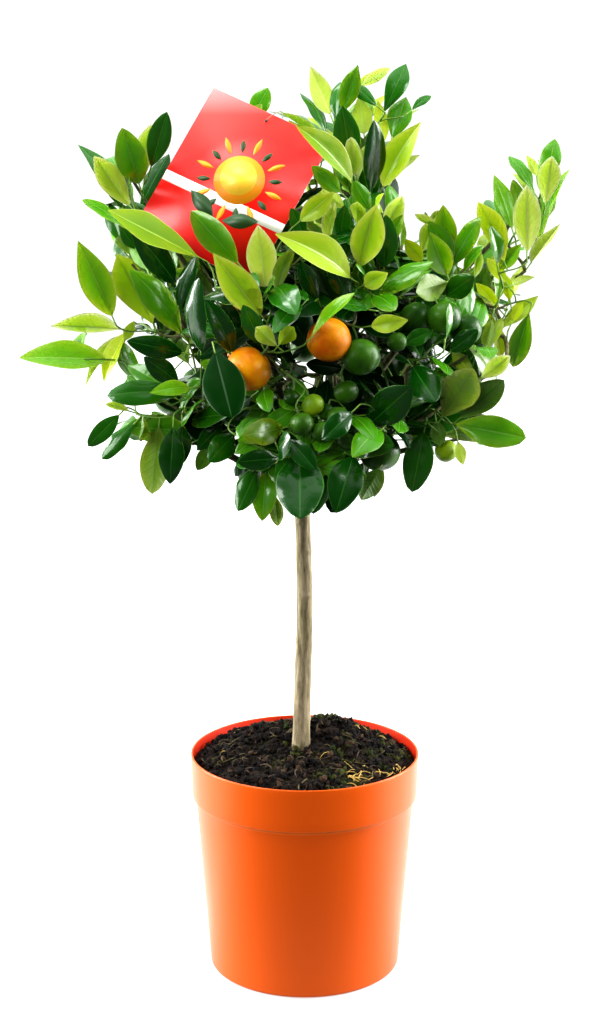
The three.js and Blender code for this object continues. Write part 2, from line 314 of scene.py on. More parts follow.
# A leaf tone: the colours of a blade's upper side, underside and midrib, how rough the upper side is,
# how much light passes through the blade, and how much it shines.
Tone = namedtuple("Tone", "upper under rib rough glow shine", defaults=(0.6,))
TONES = {
    # deep: the darkest tone, for a few very dark leaves and, as painted shade, for the leaves that close the
    # head's core
    "deep": Tone((3, 42, 2), (30, 60, 14), (14, 58, 10), 0.38, 0.0, 0.06),
    "dark": Tone((9, 62, 4), (60, 102, 28), (32, 90, 18), 0.22, 0.0),
    "old": Tone((30, 92, 6), (80, 120, 28), (50, 110, 24), 0.22, 0.0),
    "olive": Tone((66, 100, 10), (98, 128, 26), (90, 126, 32), 0.26, 0.1),
    "mid": Tone((58, 121, 8), (104, 144, 34), (88, 142, 38), 0.24, 0.1),
    "fresh": Tone((86, 142, 14), (122, 158, 36), (118, 164, 50), 0.28, 0.16, 0.4),
    "spring": Tone((90, 122, 6), (138, 170, 20), (128, 160, 44), 0.36, 0.14, 0.16),
    "lime": Tone((130, 158, 28), (146, 170, 44), (158, 184, 78), 0.32, 0.22, 0.34),
    "pale": Tone((156, 177, 66), (160, 181, 64), (180, 198, 108), 0.36, 0.25, 0.3),
    "yellow": Tone((154, 176, 10), (166, 184, 22), (178, 198, 66), 0.34, 0.25, 0.34),
}
VEINS = {"pairs": 9.0, "slant": 1.5, "sharpness": 5.0, "relief": 0.4}
RIB_GRAIN = Grain(700.0, 0.3, 0.2)


def leaf_paint(name, look, colour, rough, relief):
    paint = Paint(name, colour, rough, Subsurface_Weight=look.glow, Subsurface_Scale=0.004,
                  Subsurface_Radius=(0.6, 1.0, 0.25), Specular_IOR_Level=look.shine)
    across, up, _ = paint.axes(paint.coordinates("UV"))
    from_rib = paint.maths("ABSOLUTE", paint.maths("SUBTRACT", across, 0.5))
    along = paint.maths("MULTIPLY", up, VEINS["pairs"])
    slant = paint.maths("MULTIPLY", from_rib, 2 * VEINS["slant"])
    phase = paint.maths("FRACT", paint.maths("SUBTRACT", along, slant))
    ridge = paint.maths("ABSOLUTE", paint.maths("SUBTRACT", phase, 0.5))
    sharp = paint.maths("POWER", paint.maths("MULTIPLY", ridge, 2.0), VEINS["sharpness"])
    paint.bump(sharp, relief, VEINS["relief"])
    place = paint.coordinates()
    paint.bump(paint.noise(place, 110.0, 2.0), 0.32, 1.6)
    paint.drive("Roughness", paint.between(paint.noise(place, 60.0), rough - 0.1, rough + 0.06))
    return paint.material


@cache
def leaf_paints(tone):
    """The three materials of a tone, which are made once: upper side, underside, midrib."""
    look = TONES[tone]
    return [
        leaf_paint(f"leaf_{tone}_upper", look, look.upper, look.rough, -0.5),
        leaf_paint(f"leaf_{tone}_under", look, look.under, look.rough + 0.2, 0.5),
        grained(f"leaf_{tone}_rib", look.rib, look.rough + 0.1, RIB_GRAIN,
                Subsurface_Weight=0.1, Subsurface_Scale=0.002),
    ]


# ---- Mesh building -----------------------------------------------------------------------------

def unit(vector):
    return vector / max(np.linalg.norm(vector), 1e-9)


def square_to(direction, wish):
    """The unit vector nearest to wish that is at right angles to direction."""
    flat = wish - direction * (wish @ direction)
    if np.linalg.norm(flat) < 1e-6:
        flat = np.cross(direction, [0.3, 0.9, 0.2])
    return unit(flat)


def ring_angles(count):
    """The angles of that many corners round a ring."""
    return np.arange(count) * 2 * math.pi / count


class Piece:
    """Collects the parts of one joined mesh."""

    def __init__(self, name):
        self.name = name
        self.corners = []
        self.faces = []
        self.slots = []
        self.uvs = []
        self.crisp = []
        self.count = 0

    def add(self, corners, faces, slots, uvs=None, crisp=None):
        """crisp marks the corners whose shared edges aren't smoothed over."""
        corners = np.asarray(corners, float).reshape(-1, 3)
        self.corners.append(corners)
        self.faces.extend([[i + self.count for i in face] for face in faces])
        self.slots.extend([slots] * len(faces) if isinstance(slots, int) else list(slots))
        self.uvs.append(np.zeros((len(corners), 2)) if uvs is None else np.asarray(uvs))
        self.crisp.append(np.zeros(len(corners), bool) if crisp is None else np.asarray(crisp))
        self.count += len(corners)

    def build(self, materials, slot, replaced=()):
        mesh = bpy.data.meshes.new(self.name)
        corners = np.concatenate(self.corners) * MM
        mesh.from_pydata(corners.tolist(), [], self.faces)
        for material in materials:
            mesh.materials.append(material)
        mesh.polygons.foreach_set("material_index", np.array(self.slots, np.int32))
        mesh.polygons.foreach_set("use_smooth", np.ones(len(self.faces), bool))
        starts = np.empty(len(mesh.loops), np.int32)
        mesh.loops.foreach_get("vertex_index", starts)
        layer = mesh.uv_layers.new(name="UVMap")
        layer.data.foreach_set("uv", np.concatenate(self.uvs)[starts].astype(np.float32).ravel())
        ends = np.empty(2 * len(mesh.edges), np.int32)
        mesh.edges.foreach_get("vertices", ends)
        crisp = np.concatenate(self.crisp)
        sharp = crisp[ends.reshape(-1, 2)].all(axis=1)
        mesh.attributes.new("sharp_edge", "BOOLEAN", "EDGE").data.foreach_set("value", sharp)
        mesh.update()
        piece = add_object(self.name, mesh)
        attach(piece, "root")
        if replaced:
            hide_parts(*replaced)


def catmull(points, steps):
    """A smooth line of steps + 1 points through the given ones."""
    points = np.asarray(points, float)
    ends = np.vstack([2 * points[0] - points[1], points, 2 * points[-1] - points[-2]])
    line = []
    for share in np.linspace(0, len(points) - 1, steps + 1):
        i = min(int(share), len(points) - 2)
        t = share - i
        a, b, c, d = ends[i:i + 4]
        line.append(0.5 * (2 * b + (c - a) * t + (2 * a - 5 * b + 4 * c - d) * t * t
                           + (3 * b - a - 3 * c + d) * t ** 3))
    return np.array(line)


def carried_frames(line):
    """Two directions across the line at each of its points, carried along without twisting."""
    runs = np.gradient(line, axis=0)
    side = square_to(unit(runs[0]), np.array([1.0, 0.0, 0.0]))
    frames = []
    for run in runs:
        along = unit(run)
        side = square_to(along, side)
        frames.append((side, np.cross(along, side)))
    return frames


def band_faces(first, second, sides):
    """The faces between two closed rings of corners, which start at those indices."""
    return [(first + j, second + j, second + (j + 1) % sides, first + (j + 1) % sides)
            for j in range(sides)]


def tube(piece, line, radii, sides, slot=0, reliefs=None):
    """A closed tube round the line. reliefs is what is added to the radius at each ring and side."""
    line = np.asarray(line, float)
    angles = ring_angles(sides)
    ring = np.stack([np.cos(angles), np.sin(angles)], axis=1)
    radii = np.broadcast_to(np.asarray(radii, float).reshape(-1, 1), (len(line), sides))
    if reliefs is not None:
        radii = radii + reliefs
    corners = []
    for point, (side, other), radius in zip(line, carried_frames(line), radii):
        corners.append(point + (ring[:, :1] * side + ring[:, 1:] * other) * radius[:, None])
    faces = []
    for i in range(len(line) - 1):
        for j in range(sides):
            k = (j + 1) % sides
            faces.append((i * sides + j, i * sides + k, (i + 1) * sides + k, (i + 1) * sides + j))
    last = (len(line) - 1) * sides
    faces.append(tuple(reversed(range(sides))))
    faces.append(tuple(range(last, last + sides)))
    along = np.repeat(np.linspace(0, 1, len(line)), sides)
    around = np.tile(np.linspace(0, 1, sides), len(line))
    piece.add(np.concatenate(corners), faces, slot, np.stack([around, along], axis=1))


def lathe(piece, profile, sides, slots):
    """Turns a profile of (radius, height) points about the Z axis, with a slot for each ring of faces
    between two of its points."""
    angles = ring_angles(sides)
    corners, rings = [], []
    for radius, height in profile:
        first = len(corners)
        if radius == 0:
            corners.append((0, 0, height))
            rings.append([first] * sides)
        else:
            corners.extend((radius * math.cos(a), radius * math.sin(a), height) for a in angles)
            rings.append(list(range(first, first + sides)))
    faces, face_slots = [], []
    for lower, upper, slot in zip(rings, rings[1:], slots):
        for j in range(sides):
            k = (j + 1) % sides
            face = []
            for corner in (lower[j], lower[k], upper[k], upper[j]):
                if corner not in face:
                    face.append(corner)
            if len(face) > 2:
                faces.append(tuple(face))
                face_slots.append(slot)
    piece.add(corners, faces, face_slots)


def ball_parts(rings, sides):
    """Unit directions and faces of a ball with its poles on Z."""
    corners = [(0, 0, 1)]
    for i in range(1, rings):
        polar = math.pi * i / rings
        for j in range(sides):
            angle = 2 * math.pi * j / sides
            corners.append((math.sin(polar) * math.cos(angle), math.sin(polar) * math.sin(angle),
                            math.cos(polar)))
    corners.append((0, 0, -1))
    faces = []
    for j in range(sides):
        k = (j + 1) % sides
        faces.append((0, 1 + j, 1 + k))
        for i in range(rings - 2):
            a, b = 1 + i * sides, 1 + (i + 1) * sides
            faces.append((a + j, b + j, b + k, a + k))
        faces.append((1 + (rings - 2) * sides + j, len(corners) - 1, 1 + (rings - 2) * sides + k))
    return np.array(corners), faces


def tangle(points, scale, seed=0.0):
    """Smooth noise between about -1 and 1 at each point; scale is the size of its lumps."""
    shift = Vector((seed * 13.7, seed * 7.1, seed * 3.3))
    return np.array([noise.noise(Vector(p) / scale + shift) for p in np.asarray(points)])


def lumps(points, layers):
    """Layers of smooth noise added up: the height, size and seed of each."""
    return sum(height * tangle(points, size, seed) for height, size, seed in layers)


def turned_about_z(angle):
    """The matrix of a turn about the Z axis."""
    return np.array([[math.cos(angle), -math.sin(angle), 0], [math.sin(angle), math.cos(angle), 0],
                     [0, 0, 1]])


# ---- Pot ---------------------------------------------------------------------------------------

POT_SIDES = 160
# The last rings of faces run down the pot's inside, which takes a painted shade.
INSIDE_RINGS = 4


def pot_radius(height):
    share = height / (POT["height"] - POT["band_height"])
    return POT["foot_radius"] + (POT["body_top_radius"] - POT["foot_radius"]) * share


def make_pot():
    band_foot = POT["height"] - POT["band_height"]
    top, rim = POT["height"], POT["rim_radius"]
    foot_round = POT["foot_round"]
    inner_rim = rim - POT["rim_wall"]
    body_top = band_foot - POT["shoulder"]
    # the underside, with its raised middle and the ring that the pot stands on
    profile = [(0, 0.8), (22, 0.8), (24, 0.2), (POT["foot_radius"] - 9, 0.2),
               (POT["foot_radius"] - 8, 0), (POT["foot_radius"] - foot_round, 0)]
    for angle in (25, 50, 75):
        turn = math.radians(angle)
        profile.append((pot_radius(foot_round) - foot_round * (1 - math.sin(turn)),
                        foot_round * (1 - math.cos(turn))))
    profile += [(pot_radius(h), h) for h in np.linspace(foot_round, body_top - 1.0, 14)]
    crease = len(profile) - 1
    profile += [
        (pot_radius(body_top) + 0.15, body_top),
        (pot_radius(body_top) + 0.7, body_top + 0.8),
        (POT["band_foot_radius"] - 0.7, band_foot - 0.6),
        (POT["band_foot_radius"] - 0.1, band_foot - 0.1),
        (POT["band_foot_radius"], band_foot + 0.5),
    ]
    band = len(profile) - 1
    for share in (0.2, 0.5, 0.8):
        profile.append((POT["band_foot_radius"] + (rim - POT["band_foot_radius"]) * share,
                        band_foot + (top - band_foot) * share))
    profile += [
        (rim - 0.02, top - 1.2), (rim - 0.1, top - 0.6), (rim - 0.45, top - 0.12), (rim - 0.9, top),
        (inner_rim + 0.3, top - 0.1), (inner_rim, top - 0.5),
        (POT["band_foot_radius"] - POT["wall"], band_foot + POT["wall"]),
        (POT["body_top_radius"] - POT["wall"], body_top),
        (pot_radius(POT["floor"]) - POT["wall"], POT["floor"]), (0, POT["floor"]),
    ]
    paint = Paint("pot_plastic", (228, 94, 10), 0.3, Specular_IOR_Level=0.38)
    place = paint.coordinates()
    streaks = paint.noise(paint.stretched(place, (1, 1, 0.06)), 90.0, 3.0)
    paint.drive("Roughness", paint.between(streaks, 0.24, 0.4))
    paint.bump(paint.noise(place, 900.0, 2.0), 0.06, 0.25)
    paint.bump(paint.noise(place, 9.0, 1.0), 0.12, 1.5)
    # The inside wall is a darker, redder copy of the plastic with less shine: painted shade.
    inside = grained("pot_inside_painted_shade", (206, 44, 2), 0.6, Grain(300.0, 0.2, 0.3, 3.0),
                     Specular_IOR_Level=0.15)
    # The step under the band is a lighter orange than the plastic: a painted highlight along the band's foot.
    band_foot_highlight = grained("pot_band_foot_highlight", (240, 112, 24), 0.4, Grain(300.0, 0.1, 0.2, 3.0), Specular_IOR_Level=0.38)
    # the step from the crease up to the band takes the painted highlight
    slots = [0] * crease + [2] * (band - crease) + [0] * (len(profile) - 1 - INSIDE_RINGS - band)
    # the inside rings take the painted shade
    slots += [1] * INSIDE_RINGS
    piece = Piece("pot_shell")
    lathe(piece, profile, POT_SIDES, slots)
    piece.build([paint.material, inside, band_foot_highlight], "pot_plastic", ["pot"])


# ---- Soil --------------------------------------------------------------------------------------

# The bed's mesh, how high its lumps rise and over what width they fade at the pot, how far the bed lies
# below its crumbs, and how far its hidden skirt goes down.
BED = {"rings": 64, "sides": 200, "grain": 1.5, "fade": 8.0, "sunk": 1.0, "skirt": 12.0}
BED_LUMPS = ((2.2, 11.0, 1), (1.5, 4.5, 2), (0.8, 2.0, 3))
STEM_CLEARANCE = 12.0
# Tufts of straw on the soil: x, y, how far they spread, bits of straw.
STRAW = [(44, -62, 6, 16), (82, -34, 5, 12), (62, -50, 9, 6)]


def soil_edge_radius():
    band_foot = POT["height"] - POT["band_height"]
    share = (SOIL["edge_top"] - band_foot) / POT["band_height"]
    inner = POT["band_foot_radius"] - POT["wall"]
    return inner + (POT["rim_radius"] - POT["band_foot_radius"]) * share - 0.8


def soil_top(x, y):
    """Height of the soil's surface, as in the CAD part."""
    share = np.minimum(1, np.hypot(x, y) / (POT["rim_radius"] - POT["wall"]))
    heaped = SOIL["crumbs"] * np.sin(x * 0.21 + 1.3) * np.cos(y * 0.17 - 0.4)
    for heap_x, heap_y, top, radius in HEAPS:
        away = np.hypot(x - heap_x, y - heap_y) / radius
        heaped = heaped + top * np.exp(-away ** 2)
    return SOIL["edge_top"] + SOIL["crown"] * (1 - share ** 2) + heaped * (1 - share ** 4)


def on_soil(random, edge=0.97):
    """A random place on the soil, clear of the stem."""
    while True:
        x, y = random.uniform(-1, 1, 2) * soil_edge_radius() * edge
        if STEM_CLEARANCE < math.hypot(x, y) < soil_edge_radius() * edge:
            return np.array([x, y, float(soil_top(x, y))])


def make_soil_bed():
    radius = soil_edge_radius()
    rings = np.linspace(0, 1, BED["rings"] + 1)[1:] * radius
    angles = ring_angles(BED["sides"])
    x = (rings[:, None] * np.cos(angles)).ravel()
    y = (rings[:, None] * np.sin(angles)).ravel()
    flat = np.stack([x, y, np.zeros_like(x)], axis=1)
    edge = np.clip((radius - np.hypot(x, y)) / BED["fade"], 0.25, 1)
    z = soil_top(x, y) + BED["grain"] * lumps(flat, BED_LUMPS) * edge - BED["sunk"]
    corners = np.vstack([[0, 0, float(soil_top(0, 0))], np.stack([x, y, z], axis=1)])
    sides = BED["sides"]
    faces = [(0, 1 + j, 1 + (j + 1) % sides) for j in range(sides)]
    for i in range(BED["rings"] - 1):
        faces += band_faces(1 + i * sides, 1 + (i + 1) * sides, sides)
    skirt = corners[-sides:].copy()
    skirt[:, 2] = SOIL["edge_top"] - BED["skirt"]
    first = len(corners)
    corners = np.vstack([corners, skirt])
    faces += band_faces(first - sides, first, sides)
    faces.append(tuple(reversed(range(first, first + sides))))
    paint = Paint("peat", (40, 28, 20), 0.95, Specular_IOR_Level=0.25)
    place = paint.coordinates()
    brown = paint.ramp(paint.noise(place, 260.0, 6.0, 0.7), [
        (0.3, (6, 4, 3)), (0.52, (28, 20, 14)), (0.66, (60, 44, 32)), (0.82, (104, 82, 62))])
    mossy = paint.between(paint.noise(place, 26.0, 3.0), 0.0, 0.75, 0.52, 0.72)
    paint.drive("Base Color", paint.mixed(mossy, brown, (74, 74, 26)))
    paint.bump(paint.noise(place, 900.0, 5.0, 0.7), 0.9, 1.5)
    piece = Piece("soil_bed")
    piece.add(corners, faces, 0)
    piece.build([paint.material], "peat_soil", ["soil"])


# The colours of the crumbs, first three of peat and then two of moss, and how common each kind of peat
# is. Moss grows in patches of that size on the right, and takes that share of the crumbs there.
CRUMB_COLOURS = {
    "crumb_black": (12, 9, 7), "crumb_brown": (34, 24, 18), "crumb_tan": (72, 55, 40),
    "moss_olive": (66, 70, 26), "moss_green": (46, 60, 22),
}
PEAT_SHARES = [0.56, 0.33, 0.11]
CRUMBS = {"count": 2400, "least": 0.7, "more": 2.2, "rough": 0.3}
MOSS = {"patch": 22.0, "above": 0.1, "right_of": -20.0, "share": 0.55}
CRUMB_GRAIN = Grain(1200.0, 0.9, 1.0, 5.0, 0.7)


def make_crumbs(random):
    """Loose crumbs of peat and moss on the bed."""
    ball, ball_faces = ball_parts(5, 7)
    crumbs = Piece("soil_crumbs")
    for _ in range(CRUMBS["count"]):
        place = on_soil(random)
        size = CRUMBS["least"] + CRUMBS["more"] * random.random() ** 3
        shape = ball * (1 + CRUMBS["rough"] * random.standard_normal((len(ball), 1)))
        shape = shape * random.uniform(0.4, 1.5, 3) * size
        shape = shape @ turned_about_z(random.uniform(0, 2 * math.pi))
        mossy = noise.noise(Vector(place) / MOSS["patch"]) > MOSS["above"] and place[0] > MOSS["right_of"]
        if mossy and random.random() < MOSS["share"]:
            kind = random.choice([3, 4])
        else:
            kind = random.choice([0, 1, 2], p=PEAT_SHARES)
        crumbs.add(shape + place + UP * 0.3 * size, ball_faces, int(kind))
    crumbs.build([grained(name, colour, 0.9, CRUMB_GRAIN, Specular_IOR_Level=0.25)
                  for name, colour in CRUMB_COLOURS.items()], "peat_soil")


LITTER_COLOURS = {"straw": (196, 164, 84), "fibre": (74, 56, 38), "chaff": (84, 76, 34)}
LITTER_SHARES = [0.1, 0.5, 0.4]
LITTER = {"count": 110, "edge": 0.93, "kept_in": 0.95, "length": (4, 15), "bend": (-0.9, 0.9),
          "radius": (0.25, 0.6), "lies": 1.2, "arch": 1.4, "sides": 5}
# How thick a bit of litter is along its length, as a share of its radius.
LITTER_TAPER = np.array([0.7, 1, 1, 0.9, 0.5])
LITTER_GRAIN = Grain(900.0, 0.5, 0.4, stretch=(1, 1, 4))


def litter_line(start, heading, length, bend):
    """A bent line that lies on the soil and stays inside the pot."""
    line = []
    for share in np.linspace(0, 1, len(LITTER_TAPER)):
        x = start[0] + math.cos(heading + bend * share) * length * share
        y = start[1] + math.sin(heading + bend * share) * length * share
        inside = min(1.0, LITTER["kept_in"] * soil_edge_radius() / max(math.hypot(x, y), 1))
        x, y = x * inside, y * inside
        lift = LITTER["lies"] + LITTER["arch"] * math.sin(share * math.pi)
        line.append((x, y, float(soil_top(x, y)) + lift))
    return line


def make_litter(random):
    """Bits of straw, fibre and chaff on the soil."""
    litter = Piece("soil_litter")
    starts = [(on_soil(random, LITTER["edge"]), None) for _ in range(LITTER["count"])]
    for x, y, spread, count in STRAW:
        starts += [(np.array([x, y, 0]) + spread * random.standard_normal(3), 0) for _ in range(count)]
    for start, kind in starts:
        heading = random.uniform(0, 2 * math.pi)
        length = random.uniform(*LITTER["length"])
        line = litter_line(start, heading, length, random.uniform(*LITTER["bend"]))
        radii = random.uniform(*LITTER["radius"]) * LITTER_TAPER
        if kind is None:
            kind = int(random.choice([0, 1, 2], p=LITTER_SHARES))
        tube(litter, line, radii, LITTER["sides"], kind)
    litter.build([grained(name, colour, 0.7, LITTER_GRAIN) for name, colour in LITTER_COLOURS.items()],
                 "peat_soil")


# ---- Bark --------------------------------------------------------------------------------------

def bark_paint(name, pale, dark, green):
    paint = Paint(name, pale, 0.8, Specular_IOR_Level=0.3)
    place = paint.coordinates()
    streaked = paint.stretched(place, (1, 1, 0.16))
    streaks = paint.noise(streaked, 320.0, 5.0, 0.65)
    palest = tuple(min(255, channel + 34) for channel in pale)
    base = paint.ramp(streaks, [(0.28, dark), (0.5, pale), (0.72, palest)])
    greener = paint.between(paint.noise(streaked, 70.0, 2.0), 0.0, 0.6, 0.5, 0.75)
    tinted = paint.mixed(greener, base, green)
    specks = paint.between(paint.cells(paint.stretched(place, (1, 1, 0.5)), 420.0), 0.5, 0.0, 0.0, 0.22)
    paint.drive("Base Color", paint.mixed(specks, tinted, dark))
    paint.bump(streaks, 0.6, 0.5)
    paint.bump(paint.noise(place, 1100.0, 4.0, 0.7), 0.4, 0.25)
    return paint.material


STEM_MESH = {"sides": 56, "rings": 240, "below": 6.0}
# The bark's relief: the stem's radius for it, how much it is drawn out along the stem, and the height,
# size and seed of its layers.
BARK = {"radius": 7, "drawn_out": 0.16, "layers": ((0.42, 4.2, 5), (0.2, 1.6, 6))}
SCAR = {"half_height": 2.4, "half_width": 3.2}
# Old bud scars on the stem: height, angle from the front to the right in degrees, height of the bump.
SCARS = [(402, -30, 1.0), (376, 60, 0.9), (338, 20, 1.1), (318, 150, 1.0), (296, -80, 0.8),
         (262, 200, 1.0), (240, -15, 0.7), (225, 100, 0.9)]


def stem_line():
    """The middle of the stem, from just below the soil to the fork."""
    points = [(x, y, TRUNK["ground"] + share * (TRUNK["fork"] - TRUNK["ground"]))
              for share, x, y in SWAY]
    line = catmull(points, STEM_MESH["rings"])
    return np.vstack([line[0] - UP * STEM_MESH["below"], line])


def stem_radius(height):
    above = np.maximum(0, height - TRUNK["ground"])
    length = TRUNK["fork"] - TRUNK["ground"]
    taper = (TRUNK["ground_radius"] - TRUNK["fork_radius"]) * above / length
    return TRUNK["ground_radius"] - taper + TRUNK["flare"] * np.exp(-above / TRUNK["flare_height"])


def make_stem():
    line = stem_line()
    sides = STEM_MESH["sides"]
    angles = ring_angles(sides)
    radii = stem_radius(line[:, 2])
    reliefs = np.zeros((len(line), sides))
    for i, point in enumerate(line):
        around = np.stack([np.cos(angles) * BARK["radius"], np.sin(angles) * BARK["radius"],
                           np.full(sides, point[2] * BARK["drawn_out"])], axis=1)
        reliefs[i] = lumps(around, BARK["layers"])
    for height, angle, rise in SCARS:
        # the ring's first corner lies on +X, and the front is -Y
        place = math.radians(angle - 90)
        apart = np.angle(np.exp(1j * (angles[None, :] - place))) * BARK["radius"]
        away = (line[:, 2:3] - height) / SCAR["half_height"]
        reliefs += rise * np.exp(-away ** 2 - (apart / SCAR["half_width"]) ** 2)
    piece = Piece("stem_bark")
    tube(piece, line, radii, sides, reliefs=reliefs)
    piece.build([bark_paint("bark", (146, 134, 106), (82, 72, 48), (112, 108, 64))], "bark",
                ["trunk"])


def mass_centre(mass):
    low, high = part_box("foliage_" + mass)
    return np.array((low + high) / 2) / MM


# The boughs' meshes, the height and size of the lumps of their bark, and the share of a bough's length
# beyond which twigs start on it.
BOUGH_MESH = {"steps": 22, "sides": 14, "lump": 0.35, "lump_size": 9.0, "twigs_from": 0.45}


def bough_line(name):
    mass, drop = BOUGHS[name]
    fork = np.array([SWAY[-1][1], SWAY[-1][2], TRUNK["fork"] - drop])
    centre = mass_centre(mass)
    run = centre - fork
    middle = fork + run * 0.5 + UP * BOUGH["rise"] * math.hypot(run[0], run[1])
    return catmull([fork, middle, centre], BOUGH_MESH["steps"])


def make_boughs():
    piece = Piece("bough_bark")
    sides = BOUGH_MESH["sides"]
    for name in BOUGHS:
        line = bough_line(name)
        radii = np.linspace(BOUGH["foot_radius"], BOUGH["end_radius"], len(line))
        # each side takes its lumps from another place of the noise
        reliefs = [BOUGH_MESH["lump"] * tangle(line + [0, 0, 40 * k], BOUGH_MESH["lump_size"], k)
                   for k in range(sides)]
        tube(piece, line, radii, sides, reliefs=np.array(reliefs).T)
    piece.build([bark_paint("bough_bark", (66, 66, 38), (36, 34, 20), (58, 74, 28))],
                "bough_bark", ["bough_" + name for name in BOUGHS])


# ---- Leaves ------------------------------------------------------------------------------------

# A leaf: the ends of its blade, the way its upper side faces, its width, its tone and its shape.
Leaf = namedtuple("Leaf", "foot tip normal width tone fold arc curl wave twist swell round phase")
LEAF_ROWS = 16
# The corners of a row across the blade, from margin to margin. The narrow strips are its light edge and
# midrib.
LEAF_COLUMNS = np.array([-1, -0.95, -0.62, -0.3, -0.05, 0.05, 0.3, 0.62, 0.95, 1])
# The thickness of a blade, the length of its petiole, its usual width as a share of its length, how blunt
# its ends are, how wide its very ends are, how much of its fold is gone at its tip, how many waves its
# margins have, and how far those of its two sides are apart.
LEAF = {"thickness": 0.42, "petiole": 9.0, "aspect": 0.42, "blunt": 0.84, "end": 0.3, "unfolds": 0.4,
        "waves": 2.3, "apart": 1.7}
# The midrib: how far it stands out below, how far it is sunk above as a share of that, half its width as
# a share of half the blade's, and how much flatter it is at the tip.
RIB = {"depth": 0.45, "sunk": 0.35, "half_width": 0.1, "flatter": 0.6}


def leaf_template():
    """Indices, faces, slots and texture places that every blade shares: two skins joined at the
    margin."""
    columns = len(LEAF_COLUMNS)
    top = np.arange((LEAF_ROWS + 1) * columns).reshape(LEAF_ROWS + 1, columns)
    bottom = top.copy()
    inner = np.zeros_like(top, bool)
    inner[1:-1, 1:-1] = True
    bottom[inner] = np.arange(inner.sum()) + top.size
    faces, slots = [], []
    for i in range(LEAF_ROWS):
        for j in range(columns - 1):
            light = j in (0, columns // 2 - 1, columns - 2)
            faces.append((top[i, j], top[i + 1, j], top[i + 1, j + 1], top[i, j + 1]))
            slots.append(2 if light else 0)
            faces.append((bottom[i, j], bottom[i, j + 1], bottom[i + 1, j + 1], bottom[i + 1, j]))
            slots.append(2 if light else 1)
    along, across = np.meshgrid(np.linspace(0, 1, LEAF_ROWS + 1), (LEAF_COLUMNS + 1) / 2,
                                indexing="ij")
    uv = np.stack([across, along], axis=-1)
    uvs = np.concatenate([uv.reshape(-1, 2), uv[inner]])
    crisp = np.concatenate([~inner.ravel(), np.zeros(inner.sum(), bool)])
    faces = [tuple(int(i) for i in face) for face in faces]
    return faces, slots, uvs, crisp, inner


LEAF_FACES, LEAF_SLOTS, LEAF_UVS, LEAF_CRISP, LEAF_INNER = leaf_template()


def leaf_corners(leaf):
    """The corners of a blade: its upper skin row by row, then the inner ones of its lower skin."""
    run = leaf.tip - leaf.foot
    length = np.linalg.norm(run)
    along = run / length
    normal = square_to(along, leaf.normal)
    across = np.cross(normal, along)
    t = np.linspace(0, 1, LEAF_ROWS + 1)[:, None]
    s = LEAF_COLUMNS[None, :]
    outline = np.sin(math.pi * t ** leaf.swell) ** (LEAF["blunt"] - leaf.round * t)
    half = leaf.width / 2 * outline + LEAF["end"]
    fold = leaf.fold * (1 - LEAF["unfolds"] * t)
    sideways = half * s
    phase = 2 * math.pi * LEAF["waves"] * t + leaf.phase + LEAF["apart"] * np.sign(s)
    wave = leaf.wave * half * s ** 2 * np.sin(phase)
    rise = half * np.abs(s) * np.tan(fold) - leaf.curl * half * s ** 2 + wave
    lift = leaf.arc * length * 4 * t * (1 - t)
    turn = leaf.twist * (t - 0.4)
    skin = LEAF["thickness"] / 2 * (1 - s ** 2) * np.sin(math.pi * t)
    rib = np.where(np.abs(s) < RIB["half_width"], RIB["depth"], 0) * np.sin(math.pi * t) ** 0.4
    rib = rib * (1 - RIB["flatter"] * t)

    def place(height):
        out = sideways * np.cos(turn) - height * np.sin(turn)
        over = sideways * np.sin(turn) + height * np.cos(turn)
        return (leaf.foot + along * length * t[..., None] + normal * lift[..., None]
                + across * out[..., None] + normal * over[..., None])

    upper = place(rise + skin - RIB["sunk"] * rib)
    lower = place(rise - skin - rib)
    return np.concatenate([upper.reshape(-1, 3), lower[LEAF_INNER]])


# Rows and columns of a blade that stand for it in the crossing tests. They leave out its waves, its ends
# and its outermost margin, so two blades may still cross there.
COARSE_ROWS = (1, 4, 7, 10, 13, 15)
COARSE_COLUMNS = (1, 4, 8)


def coarse_blade(leaf):
    """A few faces of the blade's upper skin, as a tree for overlap tests."""
    columns = len(LEAF_COLUMNS)
    grid = leaf_corners(leaf)[:(LEAF_ROWS + 1) * columns].reshape(LEAF_ROWS + 1, columns, 3)
    corners = grid[np.ix_(COARSE_ROWS, COARSE_COLUMNS)].reshape(-1, 3)
    width = len(COARSE_COLUMNS)
    faces = []
    for i in range(len(COARSE_ROWS) - 1):
        for j in range(width - 1):
            a = i * width + j
            faces.append((a, a + 1, a + 1 + width, a + width))
    return BVHTree.FromPolygons(corners.tolist(), faces)


YOUNG_TONES = ("spring", "lime", "pale", "yellow", "fresh")
# The shape of young and old blades, as a range for each value: the fold along the midrib and the twist
# in degrees, how far the blade arches, how far its sides curl down and wave, how near to its tip it is
# widest, how blunt its tip is, and where its waves begin. Young ones are folded, old ones flat and wavy.
YOUNG_SHAPE = {"fold": (20, 40), "arc": (-0.01, 0.11), "curl": (0.04, 0.2), "wave": (0.01, 0.05),
               "twist": (-28, 28), "swell": (0.86, 1.08), "round": (-0.25, 0.02), "phase": (0, 6.28)}
OLD_SHAPE = {"fold": (8, 32), "arc": (0.02, 0.14), "curl": (0.16, 0.46), "wave": (0.03, 0.1),
             "twist": (-28, 28), "swell": (0.96, 1.2), "round": (0.02, 0.24), "phase": (0, 6.28)}


def styled(foot, tip, normal, width, tone, random):
    """A leaf with the shape of its age."""
    ranges = YOUNG_SHAPE if tone in YOUNG_TONES else OLD_SHAPE
    shape = {name: random.uniform(*limits) for name, limits in ranges.items()}
    for name in ("fold", "twist"):
        shape[name] = math.radians(shape[name])
    return Leaf(foot, tip, normal, width, tone, **shape)


# ---- The leading leaves ------------------------------------------------------------------------

